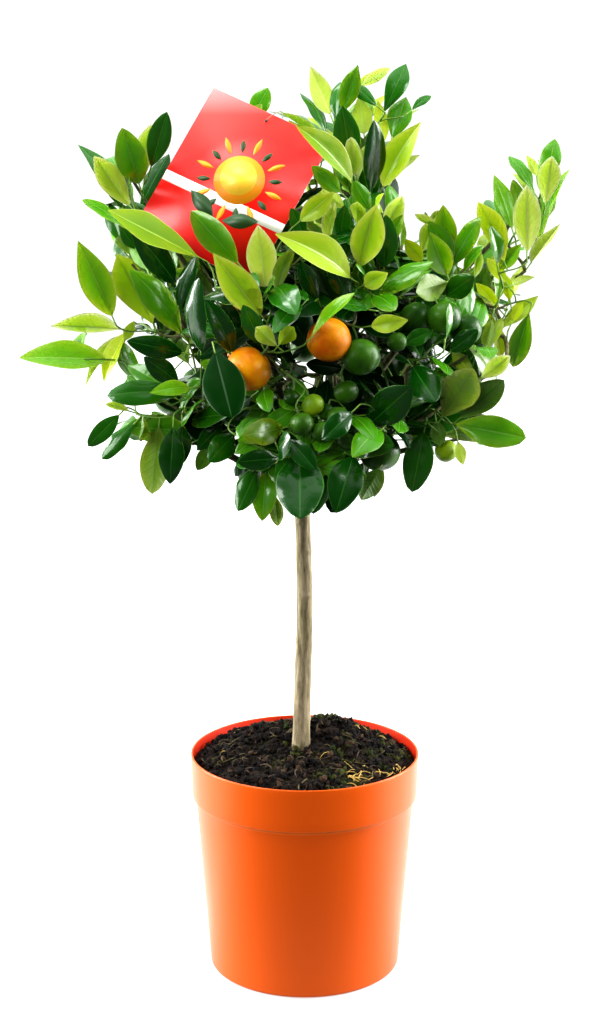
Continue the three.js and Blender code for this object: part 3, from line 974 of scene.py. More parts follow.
# A leaf that shows clearly from the front: the pixels of its tip and foot, its width there in
# pixels, its tone, which side of the blade shows, its depth where it isn't its mass's, and how blunt
# its tip is where that isn't left to chance.
Lead = namedtuple("Lead", "tip foot width tone side depth blunt", defaults=("upper", None, None))
# The leading leaves of each mass, with the depth of those that have none of their own.
LEADS = {
    "upper_left": (-30, [
        ((78, 145), (122, 208), 20, "old", "upper", -24), ((94, 156), (130, 206), 25, "lime", "under", -40),
        ((122, 128), (139, 184), 32, "mid"), ((167, 112), (151, 167), 23, "old"),
        ((151, 124), (145, 175), 19, "pale", "under"), ((169, 154), (140, 209), 22, "dark", "upper", 10),
    ]),
    "left": (-60, [
        ((82, 200), (133, 235), 9, "mid"), ((108, 210), (198, 257), 25, "spring", "upper", -84),
        ((78, 241), (112, 316), 32, "fresh"), ((132, 230), (176, 284), 27, "dark"),
        ((117, 254), (153, 324), 38, "spring", "under", -30),
        ((130, 270), (182, 334), 28, "mid", "upper", -70),
        ((121, 228), (136, 249), 13, "old", "upper", -64),
        ((195, 258), (178, 307), 17, "dark", "upper", -80),
        ((199, 278), (201, 352), 21, "dark", "upper", -96),
    ]),
    "far_left": (-26, [
        ((50, 326), (120, 329), 20, "pale", "under", 0), ((19, 358), (107, 360), 28, "fresh", "upper", -34),
        ((104, 382), (128, 332), 14, "yellow", "upper", -16),
        ((85, 388), (125, 335), 10, "pale", "under", 4), ((134, 321), (125, 340), 10, "lime"),
    ]),
    "low_left": (-62, [
        ((107, 396), (180, 395), 25, "old", "upper", None, 0.3), ((127, 341), (183, 353), 22, "dark"),
        ((144, 357), (178, 382), 22, "dark"), ((150, 393), (190, 388), 15, "fresh", "upper", -84),
        ((105, 404), (129, 411), 8, "pale", "under"),
        ((88, 446), (119, 415), 17, "old", "upper", None, 0.3),
        ((102, 459), (135, 423), 16, "old", "upper", None, 0.3),
        ((152, 494), (159, 426), 29, "olive", "under"), ((170, 484), (173, 427), 25, "dark", "upper", -76),
        ((182, 464), (182, 426), 18, "dark"), ((197, 450), (222, 424), 18, "dark"),
        ((209, 462), (234, 434), 24, "old"), ((197, 470), (214, 442), 15, "old", "under", -56),
    ]),
    "front": (-122, [
        ((191, 211), (238, 263), 29, "mid", "upper", -110),
        ((258, 225), (265, 290), 30, "pale", "under", -118),
        ((213, 253), (261, 315), 33, "lime", "upper", -128),
        ((293, 249), (278, 293), 15, "olive", "under", -122),
        ((275, 234), (350, 278), 30, "lime", "upper", -108),
        ((232, 418), (215, 352), 41, "deep", "upper", -140, 0.34),
        ((256, 327), (277, 346), 18, "lime", "under", -146),
        ((294, 327), (279, 345), 17, "spring", "under", -142),
        ((201, 362), (224, 372), 14, "mid", "upper", -140),
        ((291, 208), (305, 237), 15, "old", "upper", -70),
        ((206, 300), (232, 352), 22, "dark", "upper", -120),
        ((243, 305), (262, 345), 20, "old", "upper", -124),
        ((223, 300), (240, 334), 16, "dark", "upper", -70),
    ]),
    "front_low": (-112, [
        ((300, 519), (300, 450), 46, "dark", "upper", -138),
        ((238, 511), (257, 470), 21, "old", "upper", -112),
        ((262, 521), (266, 472), 24, "mid", "upper", -104),
        ((278, 526), (275, 496), 13, "olive", "under", -90),
        ((238, 462), (279, 458), 21, "dark", "upper", -140),
        ((243, 436), (283, 428), 26, "olive", "upper", -132),
        ((316, 470), (290, 440), 20, "dark", "upper", -150),
    ]),
    "low_middle": (-108, [
        ((336, 513), (353, 456), 34, "dark", "upper", -134),
        ((361, 500), (380, 468), 20, "old", "under", -100),
        ((322, 440), (352, 412), 22, "dark", "upper", -140),
        ((374, 497), (380, 462), 14, "mid", "under", -90),
    ]),
    "middle_top": (8, [
        ((310, 66), (330, 114), 22, "pale", "under"), ((300, 93), (326, 133), 11, "old"),
        ((358, 65), (342, 112), 20, "mid", "upper", None, -0.2),
        ((340, 82), (336, 120), 14, "old", "upper", 16), ((391, 68), (361, 86), 11, "pale", "under"),
        ((345, 81), (377, 106), 13, "old", "upper", 2, -0.1),
        ((406, 64), (384, 112), 22, "old", "upper", None, -0.2),
        ((406, 97), (392, 138), 25, "mid", "upper", None, -0.2), ((431, 96), (412, 110), 8, "old"),
        ((359, 95), (364, 134), 21, "lime", "under"), ((342, 106), (351, 162), 27, "old", "upper", -18),
        ((378, 101), (384, 141), 15, "yellow", "under"), ((421, 122), (383, 187), 27, "lime", "upper", -16),
        ((420, 155), (388, 189), 9, "pale", "under"), ((374, 120), (370, 193), 22, "dark", "upper", -24),
        ((351, 137), (356, 176), 18, "pale", "upper", -26, 0.4),
        ((369, 142), (358, 178), 11, "pale", "under", -20),
        ((296, 126), (352, 183), 22, "spring", "upper", -66),
        ((364, 148), (374, 198), 24, "old", "upper", -4), ((336, 148), (352, 194), 20, "mid", "upper", 2),
        ((328, 136), (348, 188), 18, "mid", "upper", -10),
        ((312, 166), (340, 192), 17, "mid", "upper", -60),
        ((322, 190), (344, 208), 14, "lime", "under", -56),
    ]),
    "middle": (-62, [
        ((376, 204), (360, 266), 33, "lime", "upper", -88),
        ((403, 196), (384, 230), 18, "pale", "under", -58),
        ((404, 214), (386, 246), 14, "fresh", "upper", -50),
        ((386, 215), (384, 268), 26, "old", "upper", -74),
        ((388, 273), (364, 285), 18, "lime", "upper", -100),
        ((433, 262), (378, 296), 21, "mid", "upper", -80),
        ((334, 192), (300, 221), 21, "lime", "upper", -76), ((353, 181), (370, 210), 16, "mid"),
        ((335, 202), (328, 244), 13, "pale", "under", -70),
        ((345, 205), (340, 240), 16, "old", "upper", -60),
        ((355, 293), (312, 337), 10, "fresh", "upper", -142),
        ((330, 262), (350, 300), 20, "dark", "upper", -100),
        ((306, 364), (344, 369), 17, "deep", "upper", -56),
        ((300, 262), (318, 300), 18, "dark", "upper", -96),
    ]),
    "centre_right": (-22, [
        ((443, 205), (447, 252), 23, "fresh"), ((429, 221), (453, 260), 21, "mid", "upper", -30),
        ((415, 214), (436, 228), 8, "pale", "under", -36),
        ((430, 232), (447, 275), 25, "fresh", "upper", -42), ((481, 217), (451, 267), 20, "mid"),
        ((405, 239), (422, 262), 15, "yellow", "upper", -46),
        ((416, 292), (447, 282), 27, "olive", "under", -56),
        ((474, 276), (446, 296), 24, "old", "upper", -48),
        ((478, 243), (474, 278), 9, "pale", "under", -14),
        ((484, 245), (464, 272), 10, "mid", "upper", -20), ((490, 226), (497, 264), 13, "mid", "upper", -8),
    ]),
    "right_tower": (12, [
        ((555, 139), (546, 180), 21, "mid"), ((509, 156), (533, 191), 13, "mid"),
        ((526, 155), (537, 176), 9, "pale", "under"), ((552, 156), (545, 204), 23, "pale", "under", 0),
        ((527, 185), (527, 252), 28, "pale", "under", -10), ((570, 169), (540, 242), 16, "fresh"),
        ((494, 175), (512, 229), 17, "fresh"), ((478, 202), (504, 262), 23, "yellow", "under", -14),
        ((495, 193), (506, 236), 14, "mid", "upper", 30), ((560, 224), (531, 263), 12, "pale", "under"),
        ((521, 244), (500, 269), 15, "fresh"),
    ]),
    "right_young": (8, [
        ((487, 258), (506, 283), 12, "yellow"), ((506, 275), (510, 300), 11, "yellow"),
        ((476, 283), (499, 309), 13, "yellow"), ((535, 277), (512, 285), 8, "pale", "under"),
        ((538, 296), (504, 327), 16, "lime"), ((513, 367), (529, 313), 22, "mid"),
        ((478, 312), (497, 330), 13, "yellow"), ((488, 348), (503, 318), 13, "lime"),
        ((522, 300), (512, 322), 10, "yellow"), ((500, 262), (497, 300), 13, "fresh", "upper", 16),
        ((527, 264), (511, 296), 11, "pale", "under", 14),
        ((484, 352), (492, 318), 13, "fresh", "under", 0),
        ((500, 361), (497, 326), 12, "yellow", "upper", 6),
    ]),
    "right": (-62, [
        ((408, 320), (371, 326), 18, "lime", "upper", -110),
        ((405, 343), (434, 330), 16, "old", "upper", -84),
        ((436, 402), (412, 366), 31, "dark", "upper", -80),
        ((474, 369), (442, 417), 38, "olive", "under", -74),
        ((412, 386), (370, 424), 36, "dark", "upper", -112),
        ((504, 380), (460, 418), 27, "old", "under", -56),
        ((510, 356), (481, 378), 18, "pale", "under", -84),
        ((478, 330), (450, 352), 18, "dark", "upper", -66),
        ((452, 352), (474, 375), 14, "lime", "under", -60),
    ]),
    "low_right": (-60, [
        ((526, 438), (455, 424), 31, "mid", "upper", None, 0.3),
        ((412, 492), (424, 432), 29, "old", "upper", -66, 0.28),
        ((440, 446), (436, 420), 15, "old", "under"), ((463, 465), (458, 442), 11, "pale", "under"),
        ((500, 428), (452, 421), 12, "dark", "upper", -40),
    ]),
    "behind_card": (40, [
        ((268, 88), (250, 122), 20, "mid"), ((262, 104), (244, 128), 12, "mid", "under", 46),
    ]),
}


# Moves in depth that are tried in turn for a leading leaf, until it crosses no earlier leaf.
LEAD_SHIFTS = (0, -5, 5, -10, 10, -15, 15, -20, 20, -26, 26)
# How much longer a leading leaf is than it shows, its greatest width as a share of its length, its least
# width as a share of the usual one, how many of those behind the stem point away from the camera, and
# how much its upper side turns outwards for each part that it turns up.
LEAD = {"longer": (1.02, 1.12), "widest": 0.5, "narrowest": 0.86, "away": 0.7, "outwards": 0.3}
# A point on the stem's axis from which the head grows outwards.
HEAD_MIDDLE = np.array([0, 0, 520.0])


def crown_way(point):
    """The way out of the head at a point."""
    return unit(point - HEAD_MIDDLE)


def leading_leaf(lead, depth, random):
    """Places a leaf so that it shows at its pixels, with the length and width it really has."""
    foot = at_pixel(lead.foot, depth)
    level_tip = at_pixel(lead.tip, depth)
    seen_length = np.linalg.norm(level_tip - foot)
    scale = seen_length / math.dist(lead.tip, lead.foot)
    seen_width = lead.width * scale
    length = max(seen_length * random.uniform(*LEAD["longer"]), seen_width / LEAD["widest"])
    forward = -math.sqrt(max(0.0, length ** 2 - seen_length ** 2))
    if depth > 0 and random.random() < LEAD["away"]:
        forward = -forward
    tip = at_pixel(lead.tip, depth + forward)
    along = unit(tip - foot)
    to_eye = square_to(along, CAMERA_AT - foot)
    sideways = np.cross(along, to_eye)
    width = max(seen_width, LEAF["aspect"] * LEAD["narrowest"] * length)
    turn = math.acos(min(1.0, seen_width / width))
    facing = to_eye * math.cos(turn) * (1 if lead.side == "upper" else -1)
    options = [facing + sideways * math.sin(turn), facing - sideways * math.sin(turn)]
    normal = max(options, key=lambda n: n @ (UP + LEAD["outwards"] * crown_way(foot)))
    leaf = styled(foot, tip, unit(normal), width, lead.tone, random)
    return leaf if lead.blunt is None else leaf._replace(round=lead.blunt)


def clear_lead(crown, lead, depth, random):
    """A leading leaf, moved in depth as little as it takes to cross no other."""
    depth = depth if lead.depth is None else lead.depth
    for shift in LEAD_SHIFTS:
        leaf = leading_leaf(lead, depth + shift, random)
        if crown.clear_of_others(leaf):
            break
    return leaf


# ---- The sprays that fill the masses -----------------------------------------------------------

# A mass of foliage: how many leaves fill it, how steeply its sprays rise in degrees, and the tones
# that they are dealt, from its bottom to its top.
Mass = namedtuple("Mass", "leaves lift tones")
MASSES = {
    "upper_left": Mass(16, 50, "old mid mid fresh lime"),
    "left": Mass(26, 30, "dark old mid fresh"),
    "far_left": Mass(8, 20, "mid fresh lime pale"),
    "low_left": Mass(22, 0, "old old mid olive mid"),
    "front": Mass(38, 20, "dark dark old old mid"),
    "front_low": Mass(44, -20, "dark old old mid"),
    "low_middle": Mass(36, -15, "dark old dark mid"),
    "middle_top": Mass(28, 60, "old mid fresh lime pale"),
    "middle": Mass(38, 30, "dark old mid mid fresh lime"),
    "centre_right": Mass(20, 45, "mid fresh lime lime"),
    "right": Mass(30, 10, "dark old mid olive"),
    "right_tower": Mass(14, 60, "mid fresh lime lime"),
    "right_young": Mass(12, 30, "fresh yellow lime"),
    "low_right": Mass(20, -5, "old mid mid olive"),
    "behind_card": Mass(44, 50, "old mid fresh lime pale"),
    "back": Mass(70, 35, "dark old mid fresh lime"),
    "back_left": Mass(70, 30, "dark old mid fresh lime"),
    "back_right": Mass(66, 30, "dark old mid fresh lime"),
    "back_low_left": Mass(62, -5, "dark dark old mid olive"),
    "back_low_right": Mass(62, -5, "dark dark old mid olive"),
}
# The masses that are mostly of young leaves.
YOUNG_MASSES = ("upper_left", "far_left", "middle_top", "centre_right", "right_tower", "right_young")
# A spray's shape: the range of its number of leaves, their spacing along its stem and their turn about it
# in degrees, how much of its mass's lift it takes, how far it strays from that and bends, how much it
# bends up, and how many of its leaves may have another tone. "opens" is the angle between a leaf and the
# stem in degrees: at the stem's foot, how much less it is at its tip, and how much it varies. "shrinks"
# are the sizes that are tried in turn.
SPRAY = {"leaves": (6, 9), "spacing": 9.5, "turn": 137.5, "lift": 0.75, "strays": 0.45, "bends": 0.15,
         "bends_up": 0.12, "other_tones": 0.4, "opens": (68, 38, 12), "shrinks": (1.0, 0.82, 0.66)}
# Its room: how far its leaves and its stem may stand out of the masses, and both of them in the core, how
# far apart the middles of leaves are at least and how near those are that are tested for crossing, how
# many points of a leaf may hide what has to show, and how often and how deep in its mass a foot is
# sought.
ROOM = {"leaf": 11.0, "stem": 2, "core": 28.0, "apart": 8.0, "near": 75.0, "may_hide": 2,
        "foot_tries": 60, "foot_depth": 8}
# How many sprays are tried in each mass until it has its leaves, and how mixed its tones are by height.
FILLING = {"tries": 200, "mixed": 0.22}
OLD_TONES = ("deep", "dark", "old", "olive")
# Leaves of sprays of old and of young tones: the ranges of their length and of their width as a share of
# it, and how much they turn up.
OLD_BLADE = {"length": (62, 84), "aspect": (0.42, 0.54), "rise": -0.22}
YOUNG_BLADE = {"length": (54, 74), "aspect": (0.34, 0.44), "rise": 0.15}
# Sprays that close the head where the front view still shows the sky through it: how often that is
# tried, how many pixels may stay open, and between which depths they grow.
CLOSING = {"tries": 1100, "open": 500, "front": -80.0, "back": 120.0}
# The same for the view from the side: the oval that is closed there (y and z of its middle, half its
# axes), the size of the cells in which that is counted, how many may stay open, and how far to the left
# and right the sprays grow.
SIDE_CLOSING = {"middle": (0.0, 572.0), "half": (128.0, 98.0), "cell": 2.5, "tries": 450, "open": 120,
                "reach": 105.0}
SIDE_LOW = np.array(SIDE_CLOSING["middle"]) - SIDE_CLOSING["half"]
# How often one place for such a spray is sought.
PLACE_TRIES = 20
# Leaves may stand further out of their mass inside the head, in a round core between two heights.
CORE_RADIUS = 80.0
CORE_HEIGHTS = (462.0, 640.0)
# Where the photographed head is open to the sky: pixel and radius.
SKY_WINDOWS = [(392, 373, 7), (437, 352, 4), (449, 366, 4), (186, 370, 7), (180, 377, 6), (110, 385, 16),
               (313, 386, 4), (331, 382, 4), (143, 409, 6), (155, 404, 4), (166, 411, 4), (128, 310, 9),
               (141, 321, 5), (229, 319, 3), (432, 416, 5), (417, 430, 4), (443, 429, 4), (399, 350, 3),
               (510, 272, 4), (371, 202, 3), (225, 474, 8), (226, 461, 6), (108, 253, 6),
               (114, 262, 5), (467, 257, 5), (463, 268, 5), (400, 450, 6), (399, 462, 5),
               (396, 439, 4), (130, 446, 6), (134, 456, 6), (323, 503, 4)]

# The head's outline against the sky in the front view, in pixels. Filling leaves stay within it.
OUTLINE = [
    (78, 146), (106, 150), (124, 130), (140, 146), (168, 112), (172, 150), (214, 88), (246, 104),
    (268, 90), (276, 110), (306, 124), (308, 114), (300, 92), (310, 68), (332, 84), (357, 66), (408, 66),
    (414, 98), (428, 100), (414, 140), (392, 188), (402, 200), (402, 255), (420, 240), (414, 214), (441, 205),
    (455, 240), (458, 266), (468, 262), (476, 240), (480, 214), (482, 200), (496, 176), (510, 158),
    (538, 158), (554, 142), (568, 170), (550, 222), (532, 258), (536, 296), (522, 318), (514, 364),
    (500, 390), (474, 416), (520, 440), (466, 446), (438, 458), (412, 490), (398, 470), (362, 498),
    (336, 512), (300, 516), (262, 520), (238, 508), (236, 470), (208, 464), (196, 450), (156, 492),
    (142, 460), (104, 456), (90, 444), (120, 402), (112, 372), (88, 384), (98, 362), (24, 357),
    (60, 326), (104, 312), (80, 246), (118, 252), (88, 204), (120, 202),
]
# The part of the head that is closed to the sky in the front view, apart from the sky windows.
CORE_OUTLINE = [
    (142, 240), (196, 262), (262, 235), (300, 215), (345, 180), (372, 180), (398, 215), (402, 258),
    (452, 275), (480, 300), (500, 330), (478, 352), (470, 395), (452, 420), (420, 432), (404, 452),
    (372, 480), (340, 470), (322, 505), (262, 505), (240, 470), (212, 455), (205, 425), (160, 420),
    (118, 405), (128, 352), (150, 345), (172, 330), (150, 300), (130, 262),
]

# Fruit: pixel, depth, diameter and kind for those that show from the front.
Fruit = namedtuple("Fruit", "pixel depth size kind")
FRUIT = [
    Fruit((249, 369), -128, 36, "ripe"), Fruit((329, 340), -124, 35, "ripe"),
    Fruit((416, 318), -72, 27, "green"), Fruit((444, 318), -80, 28, "green"),
    Fruit((466, 330), -66, 26, "green"), Fruit((361, 357), -118, 30, "green"),
    Fruit((380, 452), -96, 33, "green"), Fruit((446, 451), -58, 19, "unripe"),
    Fruit((313, 405), -134, 18, "unripe"), Fruit((470, 392), -62, 14, "green"),
    Fruit((397, 342), -104, 16, "green"), Fruit((346, 392), -112, 20, "green"),
    Fruit((302, 424), -146, 19, "green"), Fruit((322, 432), -142, 17, "green"),
    Fruit((338, 418), -138, 18, "green"), Fruit((347, 440), -130, 16, "green"),
    Fruit((292, 398), -132, 13, "green"), Fruit((326, 412), -128, 14, "green"),
]
# Fruit on the sides and the back, which the front view doesn't show: place, diameter and kind.
HIDDEN_FRUIT = [
    ((-58, 156, 560), 36, "ripe"), ((48, 176, 572), 35, "ripe"), ((-58, 152, 520), 34, "ripe"),
    ((158, 92, 560), 32, "green"), ((150, 70, 548), 31, "green"), ((96, 138, 520), 33, "green"),
    ((80, 150, 512), 30, "green"), ((-96, 134, 500), 32, "green"), ((-120, 110, 490), 30, "green"),
    ((6, 176, 556), 32, "green"), ((0, 178, 526), 28, "green"), ((-150, 120, 600), 30, "green"),
    ((128, 132, 624), 28, "green"), ((-120, 120, 560), 24, "green"), ((40, 162, 488), 24, "unripe"),
    ((-60, 150, 470), 26, "green"), ((100, 60, 470), 28, "green"), ((-84, 50, 470), 30, "green"),
]


def card_point(across, down, out=0.0):
    """A point on the card: millimetres from its top left corner, and out of its front."""
    turn, lean, roll = (math.radians(CARD[k]) for k in ("turn", "lean", "roll"))
    about_x = np.array([[1, 0, 0], [0, math.cos(lean), -math.sin(lean)],
                        [0, math.sin(lean), math.cos(lean)]])
    about_y = np.array([[math.cos(roll), 0, math.sin(roll)], [0, 1, 0],
                        [-math.sin(roll), 0, math.cos(roll)]])
    local = np.array([across, -out, -down])
    return np.array(CARD["top_left"]) + turned_about_z(turn) @ about_x @ about_y @ local


CARD_CORNERS = [(0, 0), (CARD["width"], 0), (CARD["width"], CARD["height"]), (0, CARD["height"])]
CARD_FRONT = unit(card_point(0, 0, 1) - card_point(0, 0))
# How near leaves may come to the card's edges and its sheet, and how far behind its front they may start
# and still count as in front of it.
CARD_ROOM = {"edge": 3, "sheet": 4, "behind": 2}


def inside_outline(outline, u, v):
    """True where a pixel lies inside the closed outline."""
    starts = np.asarray(outline, float).T.reshape(2, -1, *[1] * np.ndim(u))
    (u0, v0), (u1, v1) = starts, np.roll(starts, -1, axis=1)
    slope = (u1 - u0) / np.where(v1 == v0, 1, v1 - v0)
    crossings = ((v0 > v) != (v1 > v)) & (u < u0 + (v - v0) * slope)
    return crossings.sum(axis=0) % 2 == 1


class Cover:
    """The cells of one view of the head that leaves have to close."""

    def __init__(self, rows, columns):
        v, u = np.mgrid[0:rows, 0:columns]
        self.u, self.v = u.astype(float), v.astype(float)
        self.open = np.ones((rows, columns), bool)

    def close(self, outline):
        """Marks the cells inside an outline as closed."""
        low = np.maximum(0, outline.min(axis=0).astype(int))
        high = outline.max(axis=0).astype(int) + 2
        part = (slice(low[1], high[1]), slice(low[0], high[0]))
        self.open[part] &= ~inside_outline(outline, self.u[part], self.v[part])


def front_cover():
    """The pixels of the head that are closed by leaves in the front view."""
    cover = Cover(VIEW["height_px"] // 2 + 20, VIEW["width_px"])
    cover.open &= inside_outline(CORE_OUTLINE, cover.u, cover.v)
    for gap_u, gap_v, radius in SKY_WINDOWS:
        cover.open &= np.hypot(cover.u - gap_u, cover.v - gap_v) > radius + 1
    return cover


def side_cover():
    """The oval that is closed by leaves in the view from the side."""
    half = np.array(SIDE_CLOSING["half"]) / SIDE_CLOSING["cell"]
    columns, rows = (2 * half + 1).astype(int)
    cover = Cover(rows, columns)
    cover.open &= ((cover.u - half[0]) / half[0]) ** 2 + ((cover.v - half[1]) / half[1]) ** 2 < 1
    return cover


def to_side_cell(points):
    return (points[:, 1:] - SIDE_LOW) / SIDE_CLOSING["cell"]


# Places along a blade where it is tested, with half its width there as a share of its whole width.
MAIN_ROWS = ((0.3, 0.38), (0.5, 0.46), (0.75, 0.36))
BETWEEN_ROWS = ((0.18, 0.26), (0.4, 0.44), (0.62, 0.43), (0.88, 0.2))
# Of the points over its main rows, those along its midrib, and those round its edge in turn.
BLADE_MIDRIB = [1, 6, 9]
BLADE_EDGE = [0, 2, 5, 8, 1, 10, 7, 4]


def blade_points(leaf, rows=MAIN_ROWS):
    """Points over a blade, for the tests: near its foot, its tip, and three for each row."""
    run = leaf.tip - leaf.foot
    along = unit(run)
    across = np.cross(square_to(along, leaf.normal), along)
    points = [leaf.foot + run * 0.1, leaf.tip]
    for t, w in rows:
        for side in (-1, 0, 1):
            points.append(leaf.foot + run * t + across * side * w * leaf.width)
    return np.array(points)


class Crown:
    """Knows the masses' solids, and what leaves must not hide or cross."""

    def __init__(self):
        self.boxes = {name: np.array(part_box("foliage_" + name)) / MM for name in MASSES}
        self.lows, self.highs = np.array(list(self.boxes.values())).transpose(1, 0, 2)
        self.trees = {}
        for name in MASSES:
            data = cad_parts["foliage_" + name].data
            corners = [corner.co.copy() for corner in data.vertices]
            faces = [tuple(face.vertices) for face in data.polygons]
            self.trees[name] = BVHTree.FromPolygons(corners, faces)
        self.shown = np.zeros((0, 6))
        self.discs = []
        self.fruit = []
        self.blades = []
        self.middles = np.zeros((0, 3))
        self.front, self.side = front_cover(), side_cover()
        self.card = np.array([card_point(*corner) for corner in CARD_CORNERS])
        self.front.close(np.stack(to_pixel(self.card)[:2], axis=1))

    def outside(self, name, point):
        """How far a point is outside a mass, in millimetres, below 0 inside."""
        nearest, normal, _, distance = self.trees[name].find_nearest(Vector(point * MM))
        sign = 1 if (Vector(point * MM) - nearest).dot(normal) > 0 else -1
        return sign * distance / MM

    def in_core(self, point):
        low, high = CORE_HEIGHTS
        return math.hypot(point[0], point[1]) < CORE_RADIUS and low < point[2] < high

    def holds(self, name, point, margin):
        """True if the point is inside any mass, or within margin of this one."""
        if self.outside(name, point) < (ROOM["core"] if self.in_core(point) else margin):
            return True
        boxed = ((self.lows < point) & (point < self.highs)).all(axis=1)
        names = list(self.trees)
        return any(self.outside(names[i], point) < 0 for i in np.flatnonzero(boxed))

    def keep_shown(self, leaf):
        """Keeps a leading leaf in sight."""
        ends = np.array([leaf.foot, leaf.tip])
        u, v, far = to_pixel(ends)
        half = 0.5 * leaf.width * VIEW["focal_px"] / far.mean()
        self.shown = np.vstack([self.shown, (u[0], v[0], u[1], v[1], half * 0.8, far.mean())])

    def keep_disc(self, point, size):
        """Keeps a fruit in sight."""
        u, v, far = to_pixel(point)
        self.discs.append((u[0], v[0], 0.5 * size * VIEW["focal_px"] / far[0], far[0]))

    def keep_fruit(self):
        """Keeps leaves off all fruit, and those that show and aren't green in sight."""
        for fruit in FRUIT:
            place = at_pixel(fruit.pixel, fruit.depth)
            self.fruit.append((place, fruit.size / 2))
            if fruit.kind != "green":
                self.keep_disc(place, fruit.size)
        self.fruit += [(np.array(place, float), size / 2) for place, size, _ in HIDDEN_FRUIT]

    def hides(self, points):
        """Which of the points hide a leading leaf, a fruit or the card."""
        u, v, far = to_pixel(points)
        hidden = np.zeros(len(points), bool)
        u0, v0, u1, v1, half, depth = self.shown.T[:, :, None]
        run_u, run_v = u1 - u0, v1 - v0
        t = ((u - u0) * run_u + (v - v0) * run_v) / (run_u ** 2 + run_v ** 2)
        t = np.clip(t, 0.04, 0.96)
        away = np.hypot(u - u0 - t * run_u, v - v0 - t * run_v)
        hidden |= ((away < half * np.sqrt(np.sin(math.pi * t))) & (far < depth)).any(axis=0)
        for disc_u, disc_v, radius, depth in self.discs:
            hidden |= (np.hypot(u - disc_u, v - disc_v) < radius) & (far < depth)
        card_u, card_v, _ = to_pixel(self.card)
        inside = np.ones(len(points), bool)
        for i in range(len(self.card)):
            k = (i + 1) % len(self.card)
            edge = (card_u[k] - card_u[i], card_v[k] - card_v[i])
            inside &= edge[0] * (v - card_v[i]) - edge[1] * (u - card_u[i]) > 0
        in_front = (points - self.card[0]) @ CARD_FRONT > -CARD_ROOM["behind"]
        return hidden | (inside & in_front)

    def in_sky(self, points):
        """Which of the points would show against the sky in the front view."""
        u, v, _ = to_pixel(points)
        gap_u, gap_v, radius = np.array(SKY_WINDOWS, float).T[:, :, None]
        in_window = (np.hypot(u - gap_u, v - gap_v) < radius).any(axis=0)
        return in_window | ~inside_outline(OUTLINE, u, v)

    def through_card(self, points):
        """True if the points come near the card's sheet, or lie on both sides of it."""
        local = points - self.card[0]
        across = local @ unit(self.card[1] - self.card[0])
        down = local @ unit(self.card[3] - self.card[0])
        edge = CARD_ROOM["edge"]
        within = (-edge < across) & (across < CARD["width"] + edge)
        within &= (-edge < down) & (down < CARD["height"] + edge)
        out = local @ CARD_FRONT
        near = within & (np.abs(out) < CARD_ROOM["sheet"])
        crosses = within.any() and out[within].min() < 0 < out[within].max()
        return bool(near.any() or crosses)

    def distances(self, leaf):
        """How far the leaf's middle is from those of the earlier leaves."""
        return np.linalg.norm(self.middles - (leaf.foot + leaf.tip) / 2, axis=1)

    def has_room(self, name, leaf):
        """True if a fill leaf stays in the foliage, shows nothing wrong and crosses nothing."""
        if self.distances(leaf).min(initial=math.inf) < ROOM["apart"]:
            return False
        points = blade_points(leaf)
        if not all(self.holds(name, points[i], ROOM["leaf"]) for i in BLADE_MIDRIB):
            return False
        points = np.concatenate([points, blade_points(leaf, BETWEEN_ROWS)])
        if self.through_card(points) or self.in_sky(points).any():
            return False
        return self.hides(points).sum() <= ROOM["may_hide"] and self.clear_of_others(leaf)

    def clear_of_others(self, leaf):
        """True if the leaf crosses no earlier leaf, tested with a coarse blade, and no fruit."""
        distances = self.distances(leaf)
        if distances.min(initial=math.inf) < ROOM["apart"]:
            return False
        points = blade_points(leaf)
        for centre, radius in self.fruit:
            if np.linalg.norm(points - centre, axis=1).min() < radius + 1:
                return False
        blade = coarse_blade(leaf)
        return not any(blade.overlap(self.blades[i]) for i in np.flatnonzero(distances < ROOM["near"]))

    def keep(self, leaf):
        """Takes up a leaf that has been placed."""
        self.middles = np.vstack([self.middles, (leaf.foot + leaf.tip) / 2])
        self.blades.append(coarse_blade(leaf))
        edge = blade_points(leaf)[BLADE_EDGE]
        self.front.close(np.stack(to_pixel(edge)[:2], axis=1))
        self.side.close(to_side_cell(edge))


def spray_foot(crown, name, random):
    """A random place for a spray's foot, well inside the mass."""
    low, high = crown.boxes[name]
    foot = random.uniform(low, high)
    for _ in range(ROOM["foot_tries"]):
        if crown.outside(name, foot) < -ROOM["foot_depth"]:
            break
        foot = random.uniform(low, high)
    return foot


def closing_place(crown, cover, random):
    """A place in a cell of the cover that is still open, with the name of the mass that it is in or
    near."""
    rows, columns = np.nonzero(cover.open)
    for _ in range(PLACE_TRIES):
        pick = int(random.integers(len(rows)))
        cell = np.array([columns[pick], rows[pick]])
        if cover is crown.front:
            place = at_pixel(cell, random.uniform(CLOSING["front"], CLOSING["back"]))
        else:
            reach = SIDE_CLOSING["reach"]
            place = np.array([random.uniform(-reach, reach), *(SIDE_LOW + cell * SIDE_CLOSING["cell"])])
        name = min(MASSES, key=lambda mass: crown.outside(mass, place))
        if crown.outside(name, place) < (ROOM["core"] if crown.in_core(place) else 0):
            return name, place
    return None, None


def dealt_tone(crown, name, height, random):
    """One of a mass's tones, mostly by height."""
    low, high = crown.boxes[name][:, 2]
    tones = MASSES[name].tones.split()
    share = (height - low) / (high - low) + FILLING["mixed"] * random.standard_normal()
    return tones[int(np.clip(share * len(tones), 0, len(tones) - 1))]


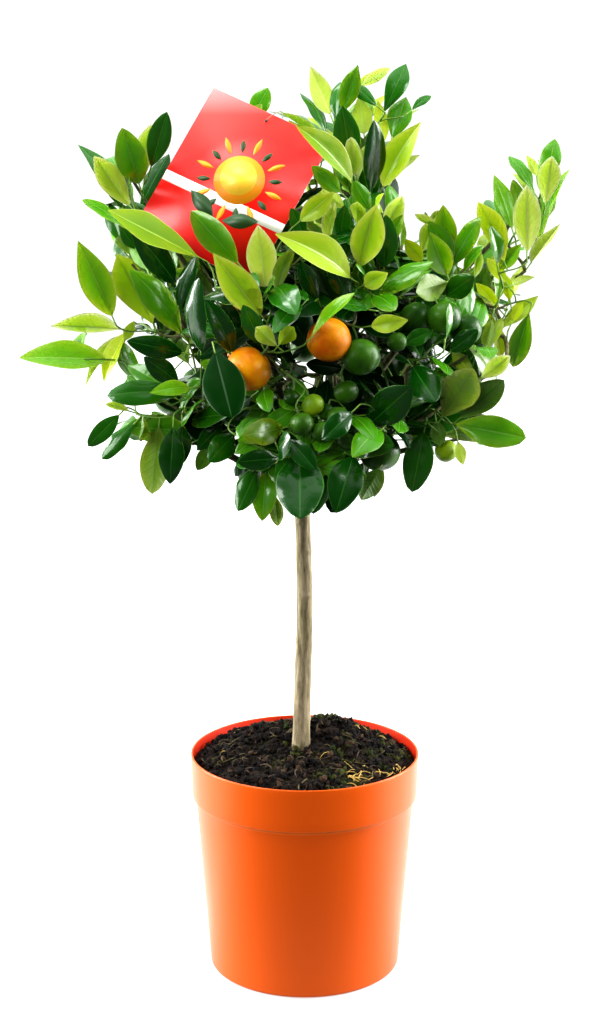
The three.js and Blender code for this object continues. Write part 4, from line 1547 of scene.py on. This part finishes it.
def grow_spray(crown, name, foot, random, through=None):
    """A shoot inside a mass, with its leaves in a spiral round it. It starts at foot, or passes
    through a place."""
    out = crown_way(foot)
    lift = math.tan(math.radians(MASSES[name].lift) * SPRAY["lift"])
    axis = unit(out * [1, 1, 0.5] + UP * lift + random.standard_normal(3) * SPRAY["strays"])
    count = int(random.integers(*SPRAY["leaves"]))
    length = SPRAY["spacing"] * (count + 0.5)
    if through is not None:
        foot = through - axis * length * 0.5
    bend = random.standard_normal(3) * SPRAY["bends"] + UP * SPRAY["bends_up"]
    side = square_to(axis, random.standard_normal(3))
    other = np.cross(axis, side)
    in_core = crown.in_core(foot) and through is not None
    # sprays that close the core take the deep tone, a painted shade for the inside of the head
    main_tone = "deep" if in_core else dealt_tone(crown, name, foot[2], random)
    shares = np.linspace(0, 1, count + 2)
    stem = np.array([foot + axis * length * s + bend * length * s * s for s in shares])
    kept = [crown.holds(name, point, ROOM["stem"]) for point in stem]
    kept &= ~(crown.hides(stem) | crown.in_sky(stem))
    reach = len(stem) if kept.all() else int(kept.argmin())
    if reach < 2:
        return stem[:1], []
    leaves = []
    start = random.uniform(0, 360)
    blade = OLD_BLADE if main_tone in OLD_TONES else YOUNG_BLADE
    size = random.uniform(*blade["length"])
    widest, closes, varies = SPRAY["opens"]
    for k in range(1, reach):
        share = k / (count + 1)
        turn = math.radians(start + SPRAY["turn"] * k)
        opened = math.radians(widest - closes * share + random.uniform(-varies, varies))
        sideways = side * math.cos(turn) + other * math.sin(turn)
        way = axis * math.cos(opened) + sideways * math.sin(opened)
        way = unit(way + UP * blade["rise"] + out * 0.2)
        tone = main_tone
        if not in_core and random.random() < SPRAY["other_tones"]:
            tone = dealt_tone(crown, name, stem[k][2] + 20 * share, random)
        length = size * (0.72 + 0.32 * math.sin(math.pi * share)) * random.uniform(0.85, 1.12)
        aspect = random.uniform(*blade["aspect"])
        normal = unit(square_to(way, axis) * 0.6 + UP * 0.8 + out * 0.3
                      + random.standard_normal(3) * 0.25)
        leaf_foot = stem[k] + way * LEAF["petiole"]
        for shrink in SPRAY["shrinks"]:
            leaf = styled(leaf_foot, leaf_foot + way * length * shrink, normal,
                          length * shrink * aspect, tone, random)
            if crown.has_room(name, leaf):
                leaves.append((k, leaf))
                crown.keep(leaf)
                break
    return stem[:max([k for k, _ in leaves], default=0) + 1], leaves


# ---- Twigs -------------------------------------------------------------------------------------

# Twigs: the length of their steps, how many places to start from are compared, and what one costs in
# millimetres for each point that shows, for going back by a millimetre beyond the first few and for a
# sharp bend. A foot that is as near as "there" needs no twig. Then their radii at the tip and at most,
# their sides, and up to how many leaves they carry while they are green.
TWIG = {"step": 7.0, "choices": 10, "in_front": 14.0, "back": 0.8, "free_back": 6, "sharp": 18,
        "there": 1.5, "tip_radius": 0.66, "thickest": 1.8, "sides": 6, "green": 4}
TWIG_COLOURS = {"twig_green": (84, 122, 34), "petiole": (112, 152, 50)}
TWIG_GRAIN = Grain(700.0, 0.4, 0.25, stretch=(1, 1, 0.4))
# A petiole's radii along its length, and how far it runs into its blade.
PETIOLE = {"radii": 0.6 * np.array([1.2, 1.0, 1.0, 1.15]), "overlap": 1.5}
FORK = np.array([0, 0, TRUNK["fork"]])


class Twigs:
    """A tree of points that grows on from the boughs to each leaf and fruit."""

    def __init__(self, crown):
        self.crown = crown
        self.points = []
        self.parents = []
        self.loads = []
        self.rooted = []

    def start(self, line):
        """Takes up a bough's points, from which twigs may start."""
        previous = -1
        for point in line:
            previous = self.grow(point, previous, rooted=True)

    def grow(self, point, parent, rooted=False):
        """Adds a point and returns its index."""
        self.points.append(point)
        self.parents.append(parent)
        self.loads.append(0)
        self.rooted.append(rooted)
        return len(self.points) - 1

    def join(self, foot, way):
        """Grows a twig to foot, where it ends heading way, and returns its last point."""
        points = np.array(self.points)
        links = foot - points
        distances = np.linalg.norm(links, axis=1)
        backwards = np.linalg.norm(points - FORK, axis=1) - np.linalg.norm(foot - FORK)
        bends = 1 - (links @ way) / np.maximum(distances, 1e-6)
        going_back = np.maximum(0, backwards + TWIG["free_back"])
        cost = distances + TWIG["back"] * going_back + TWIG["sharp"] * bends
        nearest = np.argsort(cost)[:TWIG["choices"]]
        if distances[nearest[0]] < TWIG["there"]:
            return int(nearest[0])
        lines = [self.bend(int(parent), foot, way) for parent in nearest]
        shown = [TWIG["in_front"] * self.shows(line) for line in lines]
        best = int((cost[nearest] + shown).argmin())
        parent = int(nearest[best])
        for point in lines[best]:
            parent = self.grow(point, parent)
        return parent

    def bend(self, parent, foot, way):
        """A smooth line from a point of the tree to foot, where it ends heading way."""
        start, before = self.points[parent], self.parents[parent]
        link = foot - start
        heading = start - self.points[before] if before >= 0 else link
        reach = np.linalg.norm(link) * 0.35
        first = start + unit(unit(heading) * 0.6 + unit(link)) * reach
        second = foot - unit(way + unit(link)) * reach
        steps = max(1, round(np.linalg.norm(link) / TWIG["step"]))
        return [start * (1 - t) ** 3 + 3 * first * t * (1 - t) ** 2 + 3 * second * t * t * (1 - t)
                + foot * t ** 3 for t in np.linspace(0, 1, steps + 1)[1:]]

    def shows(self, line):
        """How many of the line's points would show in front of a leading leaf, fruit or the card,
        outside the head, or inside a fruit."""
        points = np.array(line)
        wrong = self.crown.hides(points) | self.crown.in_sky(points)
        for centre, radius in self.crown.fruit:
            wrong |= np.linalg.norm(points - centre, axis=1) < radius
        return int(wrong.sum())

    def count_loads(self, ends):
        """Counts the leaves and fruit that each point carries."""
        for end in ends:
            while end >= 0 and not self.rooted[end]:
                self.loads[end] += 1
                end = self.parents[end]

    def radius(self, index):
        if self.rooted[index]:
            return TWIG["thickest"] * 0.8
        return min(TWIG["thickest"], TWIG["tip_radius"] * max(1, self.loads[index]) ** 0.32)

    def build(self, ends, petioles):
        """Makes the mesh: each end's way back to what is drawn already, thickest first."""
        self.count_loads(ends)
        piece = Piece("twigs")
        drawn = set()
        for end in sorted(set(ends), key=lambda e: -self.loads[e]):
            chain = [end]
            while chain[-1] >= 0 and not self.rooted[chain[-1]] and chain[-1] not in drawn:
                chain.append(self.parents[chain[-1]])
            if len(chain) < 2:
                continue
            drawn.update(chain[:-1])
            chain.reverse()
            line = np.array([self.points[i] for i in chain])
            radii = np.array([self.radius(i) for i in chain])
            radii[0] = radii[1]
            green = self.loads[chain[1]] <= TWIG["green"]
            steps = 2 * (len(line) - 1)
            radii = np.interp(np.linspace(0, len(line) - 1, steps + 1), range(len(line)), radii)
            tube(piece, catmull(line, steps), radii, TWIG["sides"], 1 if green else 0)
        for line, radii in petioles:
            tube(piece, line, radii, TWIG["sides"], 2)
        paints = [bark_paint("twig_bark", (84, 84, 48), (48, 44, 26), (74, 92, 34))]
        for name, colour in TWIG_COLOURS.items():
            paints.append(grained(name, colour, 0.45, TWIG_GRAIN, Subsurface_Weight=0.1,
                                  Subsurface_Scale=0.002))
        piece.build(paints, "bough_bark")


# ---- Fruit -------------------------------------------------------------------------------------

FRUIT_MESH = {"rings": 26, "sides": 36, "squat": 0.93}
# The peel of each kind of fruit: name, colour, its darkest and lightest parts, roughness.
PEELS = {
    "ripe": ("orange_peel", (201, 116, 0), (188, 92, 0), (217, 144, 0), 0.36),
    "green": ("green_peel", (36, 78, 10), (24, 62, 7), (56, 98, 18), 0.28),
    "unripe": ("unripe_peel", (96, 138, 16), (66, 112, 12), (132, 160, 24), 0.36),
}
# A calyx: its corners, of which every fourth is the tip of a lobe, how far the tips and the notches
# between them reach on a fruit of 27 mm, how much the notches are raised, and its height and depth.
CALYX = {"corners": 20, "lobe_every": 4, "tip": 2.6, "notch": 1.5, "raised": 0.35, "height": 1.1,
         "depth": 0.8}
STALK = {"length": 6, "radii": [1.1, 0.8, 0.8, 0.8], "sides": 8}
# The point in the head that the fruit turn their stalks to, besides up.
FRUIT_MIDDLE = np.array([0, 0, 560.0])


def fruit_paint(name, colour, low, high, rough):
    paint = Paint(name, colour, rough, Subsurface_Weight=0.06, Subsurface_Scale=0.002,
                  Subsurface_Radius=(1.0, 0.7, 0.2), Specular_IOR_Level=0.24)
    place = paint.coordinates()
    blotch = paint.noise(place, 45.0, 2.0)
    paint.drive("Base Color", paint.ramp(blotch, [(0.35, low), (0.65, high)]))
    pores = paint.between(paint.cells(place, 900.0), -1.0, 0.0, 0.0, 0.45)
    paint.bump(pores, 0.45, 0.3)
    return paint.material


def add_calyx(piece, top, size, side, other, hang):
    """The green star where a fruit hangs from its stalk."""
    count = CALYX["corners"]
    corners, faces = [], []
    for k in range(count):
        angle = 2 * math.pi * k / count
        tip = k % CALYX["lobe_every"] == 0
        reach = CALYX["tip" if tip else "notch"] * (0.55 + size / 60)
        corners.append(top + (side * math.cos(angle) + other * math.sin(angle)) * reach
                       + hang * (0.0 if tip else CALYX["raised"]))
        faces.append((k, (k + 1) % count, count))
        faces.append(((k + 1) % count, k, count + 1))
    corners += [top + hang * CALYX["height"], top - hang * CALYX["depth"]]
    piece.add(corners, faces, 1)


def add_fruit(piece, centre, size, hang, random):
    """One fruit with its calyx and stalk. hang is the way from the fruit to its twig."""
    ball, faces = ball_parts(FRUIT_MESH["rings"], FRUIT_MESH["sides"])
    polar = np.arccos(np.clip(ball[:, 2], -1, 1))
    squat = FRUIT_MESH["squat"] + 0.02 * random.standard_normal()
    # dimples at the stalk and at the other end, and three faint bulges
    radius = 1 - 0.07 * np.exp(-(polar / 0.3) ** 2) - 0.05 * np.exp(-((math.pi - polar) / 0.22) ** 2)
    angle = np.arctan2(ball[:, 1], ball[:, 0])
    radius = radius + 0.012 * np.sin(angle * 3 + random.uniform(0, 6))
    shape = ball * radius[:, None] * size / 2 * [1, 1, squat]
    side = square_to(hang, random.standard_normal(3))
    other = np.cross(hang, side)
    piece.add(centre + shape @ np.stack([side, other, hang]), faces, 0)
    top = centre + hang * size / 2 * squat * 0.95
    add_calyx(piece, top, size, side, other, hang)
    stalk = top + hang * np.linspace(0, STALK["length"], len(STALK["radii"]))[:, None]
    tube(piece, stalk, STALK["radii"], STALK["sides"], 1)
    return stalk[-1]


def make_fruit(twigs):
    """Makes all fruit, joins them to the twigs, and returns the twigs' ends."""
    random = np.random.default_rng(3)
    peels = {kind: fruit_paint(*look) for kind, look in PEELS.items()}
    stalk_paint = grained("fruit_stalk", (74, 104, 34), 0.6, Grain(900.0, 0.4, 0.3))
    pieces = {kind: Piece("fruit_" + kind) for kind in peels}
    placed = [(at_pixel(f.pixel, f.depth), f.size, f.kind) for f in FRUIT]
    placed += [(np.array(place, float), size, kind) for place, size, kind in HIDDEN_FRUIT]
    ends = []
    for centre, size, kind in placed:
        inwards = unit(FRUIT_MIDDLE - centre)
        hang = unit(UP * 0.8 + inwards * 0.7 + random.standard_normal(3) * 0.3)
        end = add_fruit(pieces[kind], centre, size, hang, random)
        ends.append(twigs.join(end, -hang))
    for kind, piece in pieces.items():
        slot = "ripe_fruit" if kind == "ripe" else "green_fruit"
        piece.build([peels[kind], stalk_paint], slot)
    return ends


# ---- Card --------------------------------------------------------------------------------------

CARD_ART = {
    "stripe": (79.5, 88.5),  # distance of the white stripe's edges below the top edge
    "stripe_inset": 0.1,
    "sun": (58.0, 62.0, 21.0),  # across, down, radius
    "rays": 16,
    "ray": (2.5, 16, 12, 4.6),  # gap to the sun, length of the even and the odd ones, width
    "leaf": (4, 16, 30, 13, -24),  # aside, below the sun, length, width, angle in degrees
    "hole": (53.0, 7.0, 1.5),
}
# The materials of the card: the red of its front is the first slot, and these follow.
CARD_COLOURS = {
    "card_back": (208, 203, 194), "card_white": (250, 246, 244), "card_orange": (246, 150, 22),
    "card_yellow": (252, 200, 60), "card_green": (40, 72, 34), "card_hole_shade": (60, 30, 24),
}
CARD_SLOTS = {name: slot for slot, name in enumerate(["card_red", *CARD_COLOURS])}
CARD_GRAIN = Grain(500.0, 0.08, 0.2)
# How thick the printed shapes are.
PRINT_DEPTH = 0.06
# The tie: its route, as across and down from the hole and out of the card's front, and its mesh.
TIE_ROUTE = [(0, 0, 1.0), (3, -6, 2.4), (7.5, -12.5, 0.4), (10, -8, -2.4), (4, 8, -14)]
TIE = {"steps": 26, "radius": 0.35, "sides": 8}


def flat_shape(piece, outline, raised, look):
    """A thin printed shape on the card's front, from an outline in card coordinates."""
    count = len(outline)
    out = CARD["thickness"] / 2 + raised
    lifted = [card_point(a, d, out) for a, d in outline]
    sunk = [card_point(a, d, out - PRINT_DEPTH) for a, d in outline]
    faces = [tuple(range(count)), tuple(reversed(range(count, 2 * count)))]
    for i in range(count):
        k = (i + 1) % count
        faces.append((k, i, count + i, count + k))
    corners = np.array(lifted + sunk)
    if np.cross(corners[1] - corners[0], corners[2] - corners[0]) @ CARD_FRONT < 0:
        faces = [tuple(reversed(face)) for face in faces]
    piece.add(corners, faces, CARD_SLOTS[look], crisp=np.ones(2 * count, bool))


def disc_outline(across, down, radius, count=40):
    return [(across + radius * math.cos(a), down + radius * math.sin(a)) for a in ring_angles(count)]


def leaf_outline(across, down, length, width, angle, count=14):
    way = np.array([math.cos(angle), math.sin(angle)])
    side = np.array([-way[1], way[0]])
    foot = np.array([across, down])
    shares = np.linspace(0, 1, count)
    bulge = width / 2 * np.sin(math.pi * shares)
    upper = [foot + way * length * s + side * b for s, b in zip(shares, bulge)]
    lower = [foot + way * length * s - side * b for s, b in zip(shares[-2:0:-1], bulge[-2:0:-1])]
    return [tuple(point) for point in upper + lower]


def print_art(piece):
    """The generic print on the card's front: a white stripe, and a sun with two leaves below it."""
    inset = CARD_ART["stripe_inset"]
    left, right = inset, CARD["width"] - inset
    low, high = CARD_ART["stripe"]
    flat_shape(piece, [(left, low), (right, low), (right, high), (left, high)], 0.05, "card_white")
    across, down, radius = CARD_ART["sun"]
    gap, even_length, odd_length, ray_width = CARD_ART["ray"]
    for k in range(CARD_ART["rays"]):
        angle = 2 * math.pi * k / CARD_ART["rays"]
        start = (across + math.cos(angle) * (radius + gap), down + math.sin(angle) * (radius + gap))
        ray = leaf_outline(*start, odd_length if k % 2 else even_length, ray_width, angle)
        flat_shape(piece, ray, 0.12, "card_green" if k % 2 else "card_orange")
    flat_shape(piece, disc_outline(across, down, radius), 0.12, "card_orange")
    flat_shape(piece, disc_outline(across - 1.5, down - 1.5, radius * 0.72), 0.18, "card_yellow")
    aside, below, length, width, angle = CARD_ART["leaf"]
    for side in (-1, 1):
        way = math.radians(angle if side > 0 else 180 - angle)
        leaf = leaf_outline(across + side * aside, down + radius + below, length, width, way)
        flat_shape(piece, leaf, 0.2, "card_green")
    # a dark disc where the tie's hole is: painted shade in place of a hole
    flat_shape(piece, disc_outline(*CARD_ART["hole"], 20), 0.05, "card_hole_shade")


def card_red():
    """The red of the card's front, with a painted sheen that pales it to pink towards its top."""
    paint = Paint("card_red", (244, 30, 22), 0.36)
    place = paint.coordinates()
    paint.bump(paint.noise(place, 14.0, 1.0), 0.04, 2.0)
    paint.drive("Roughness", paint.between(paint.noise(place, 60.0), 0.3, 0.44))
    # painted sheen: the red pales to pink towards the top, where light from above would glance off the card
    height = paint.between(paint.axes(place)["Z"], 0.0, 1.0, 0.6, 0.775)
    paint.drive("Base Color", paint.ramp(height, [
        (0.3, (236, 20, 10)), (0.58, (230, 16, 10)), (0.82, (236, 44, 36)), (1.0, (255, 140, 138))]))
    return paint.material


def make_card():
    piece = Piece("picture_card")
    half = CARD["thickness"] / 2
    corners = [card_point(a, d, out) for out in (half, -half) for a, d in CARD_CORNERS]
    faces = [(3, 2, 1, 0), (4, 5, 6, 7), (0, 1, 5, 4), (1, 2, 6, 5), (2, 3, 7, 6), (3, 0, 4, 7)]
    piece.add(corners, faces, [0, 1, 1, 1, 1, 1], crisp=np.ones(8, bool))
    print_art(piece)
    paints = [card_red()]
    paints += [grained(name, colour, 0.4, CARD_GRAIN) for name, colour in CARD_COLOURS.items()]
    piece.build(paints, "card", ["label_card"])


def make_tie():
    """The thread that ties the card to the twigs behind it."""
    piece = Piece("card_tie")
    hole_across, hole_down, _ = CARD_ART["hole"]
    points = [card_point(hole_across + across, hole_down + down, out) for across, down, out in TIE_ROUTE]
    tube(piece, catmull(points, TIE["steps"]), TIE["radius"], TIE["sides"])
    piece.build([grained("tie_thread", (150, 136, 110), 0.6, Grain(1500.0, 0.4, 0.2))], "card")


# ---- The tree ----------------------------------------------------------------------------------

class Foliage:
    """All leaves by mass, and the sprays that most of them grow on."""

    def __init__(self, crown):
        self.crown = crown
        self.random = np.random.default_rng(11)
        self.leaves = {name: [] for name in MASSES}
        self.leads = []
        self.sprays = []

    def place_leads(self):
        for name, (depth, rows) in LEADS.items():
            for row in rows:
                leaf = clear_lead(self.crown, Lead(*row), depth, self.random)
                self.leaves[name].append(leaf)
                self.leads.append(leaf)
                self.crown.keep_shown(leaf)
                self.crown.keep(leaf)

    def add_spray(self, name, foot, through=None):
        stem, spray = grow_spray(self.crown, name, foot, self.random, through)
        if spray:
            self.sprays.append((stem, spray))
            self.leaves[name].extend(leaf for _, leaf in spray)

    def fill(self):
        """Grows sprays in each mass until it has its leaves."""
        for name, mass in MASSES.items():
            wanted = len(self.leaves[name]) + mass.leaves
            for _ in range(FILLING["tries"]):
                if len(self.leaves[name]) < wanted:
                    self.add_spray(name, spray_foot(self.crown, name, self.random))

    def close(self, cover, limits):
        """Grows sprays in the open cells of a cover."""
        for _ in range(limits["tries"]):
            if cover.open.sum() > limits["open"]:
                name, place = closing_place(self.crown, cover, self.random)
                if name:
                    self.add_spray(name, place, through=place)

    def join(self, twigs):
        """Grows the twigs to all leaves, the nearest to the fork first. Returns the twigs' ends and the
        line and radii of each petiole."""
        jobs = []
        for leaf in self.leads:
            way = unit(leaf.tip - leaf.foot)
            jobs.append((leaf.foot, [leaf.foot - way * LEAF["petiole"]], way, [(0, leaf)]))
        for stem, spray in self.sprays:
            jobs.append((stem[0], stem, unit(stem[1] - stem[0]), spray))
        jobs.sort(key=lambda job: np.linalg.norm(job[0] - FORK))
        ends, petioles = [], []
        for _, stem, way, carried in jobs:
            indices = [twigs.join(stem[0], way)]
            for point in stem[1:]:
                indices.append(twigs.grow(point, indices[-1]))
            for k, leaf in carried:
                ends.append(indices[k])
                end = leaf.foot + unit(leaf.tip - leaf.foot) * PETIOLE["overlap"]
                petioles.append((np.linspace(stem[k], end, len(PETIOLE["radii"])), PETIOLE["radii"]))
        return ends, petioles

    def build(self):
        for name, blades in self.leaves.items():
            piece = Piece("leaves_" + name)
            tones = sorted({leaf.tone for leaf in blades})
            for leaf in blades:
                first = 3 * tones.index(leaf.tone)
                slots = [first + slot for slot in LEAF_SLOTS]
                piece.add(leaf_corners(leaf), LEAF_FACES, slots, LEAF_UVS, LEAF_CRISP)
            materials = [paint for tone in tones for paint in leaf_paints(tone)]
            slot = "young_leaves" if name in YOUNG_MASSES else "old_leaves"
            piece.build(materials, slot, ["foliage_" + name])


def make_head():
    """Leaves, twigs and fruit. The leaves are placed first, and then the twigs grow to them."""
    crown = Crown()
    crown.keep_fruit()
    foliage = Foliage(crown)
    foliage.place_leads()
    foliage.fill()
    foliage.close(crown.front, CLOSING)
    foliage.close(crown.side, SIDE_CLOSING)
    twigs = Twigs(crown)
    for name in BOUGHS:
        twigs.start(bough_line(name)[int(BOUGH_MESH["steps"] * BOUGH_MESH["twigs_from"]):])
    ends, petioles = foliage.join(twigs)
    ends += make_fruit(twigs)
    twigs.build(ends, petioles)
    foliage.build()


# ---- Floor -------------------------------------------------------------------------------------

# The floor as the camera sees it is lit and shaded, and white further out. What it throws back on the
# tree is even beside and behind it, and dim in front, where a table would end; the sheen it gives is
# brighter, as it is on a white table. Its first values are half its width, and how far it lies below the
# pot.
FLOOR = {"half": 4000.0, "below": 0.4, "colour": (168, 168, 170), "bounce": 0.8, "front_bounce": 0.06,
         "sheen": 2.6}


def floor_paint():
    paint = Paint("studio_floor", FLOOR["colour"], 0.6, Specular_IOR_Level=0.1,
                  Emission_Color=(1, 1, 1, 1))
    place = paint.coordinates()
    x, y, _ = paint.axes(place)
    length = paint.node("VectorMath", place)
    length.operation = "LENGTH"
    away = length.outputs["Value"]
    glow = paint.between(away, 0.5, 1.0, 0.15, 1.2)
    behind = paint.maths("ADD", y, paint.maths("MULTIPLY", paint.maths("ABSOLUTE", x), 0.35))
    beside = paint.between(behind, FLOOR["front_bounce"], FLOOR["bounce"], -0.12, 0.12)
    near = paint.between(away, 0.45, 0.0, 0.16, 0.34)
    bounce = paint.maths("MAXIMUM", beside, near)
    sheen = paint.maths("MAXIMUM", paint.maths("MULTIPLY", beside, FLOOR["sheen"]), near)
    rays = paint.node("LightPath").outputs
    glossy, seen = rays["Is Glossy Ray"], rays["Is Camera Ray"]
    unseen = paint.maths("ADD", paint.maths("MULTIPLY", bounce, paint.maths("SUBTRACT", 1.0, glossy)),
                         paint.maths("MULTIPLY", sheen, glossy))
    unseen = paint.maths("MULTIPLY", unseen, paint.maths("SUBTRACT", 1.0, seen))
    paint.drive("Base Color", paint.mixed(seen, (0, 0, 0), FLOOR["colour"]))
    paint.drive("Emission Strength", paint.maths("ADD", paint.maths("MULTIPLY", glow, seen), unseen))
    return paint.material


def make_floor():
    mesh = bpy.data.meshes.new("floor")
    half, height = FLOOR["half"] * MM, -FLOOR["below"] * MM
    corners = [(-half, -half, height), (half, -half, height), (half, half, height), (-half, half, height)]
    mesh.from_pydata(corners, [], [(0, 1, 2, 3)])
    mesh.materials.append(floor_paint())
    floor = add_object("floor", mesh)


bpy.context.scene.view_settings.view_transform = "Standard"
bpy.context.scene.view_settings.look = "Medium High Contrast"
make_camera()
make_surround()
make_softboxes()
make_floor()
make_pot()
make_soil_bed()
soil_random = np.random.default_rng(7)
make_crumbs(soil_random)
make_litter(soil_random)
make_stem()
make_boughs()
make_card()
make_tie()
make_head()
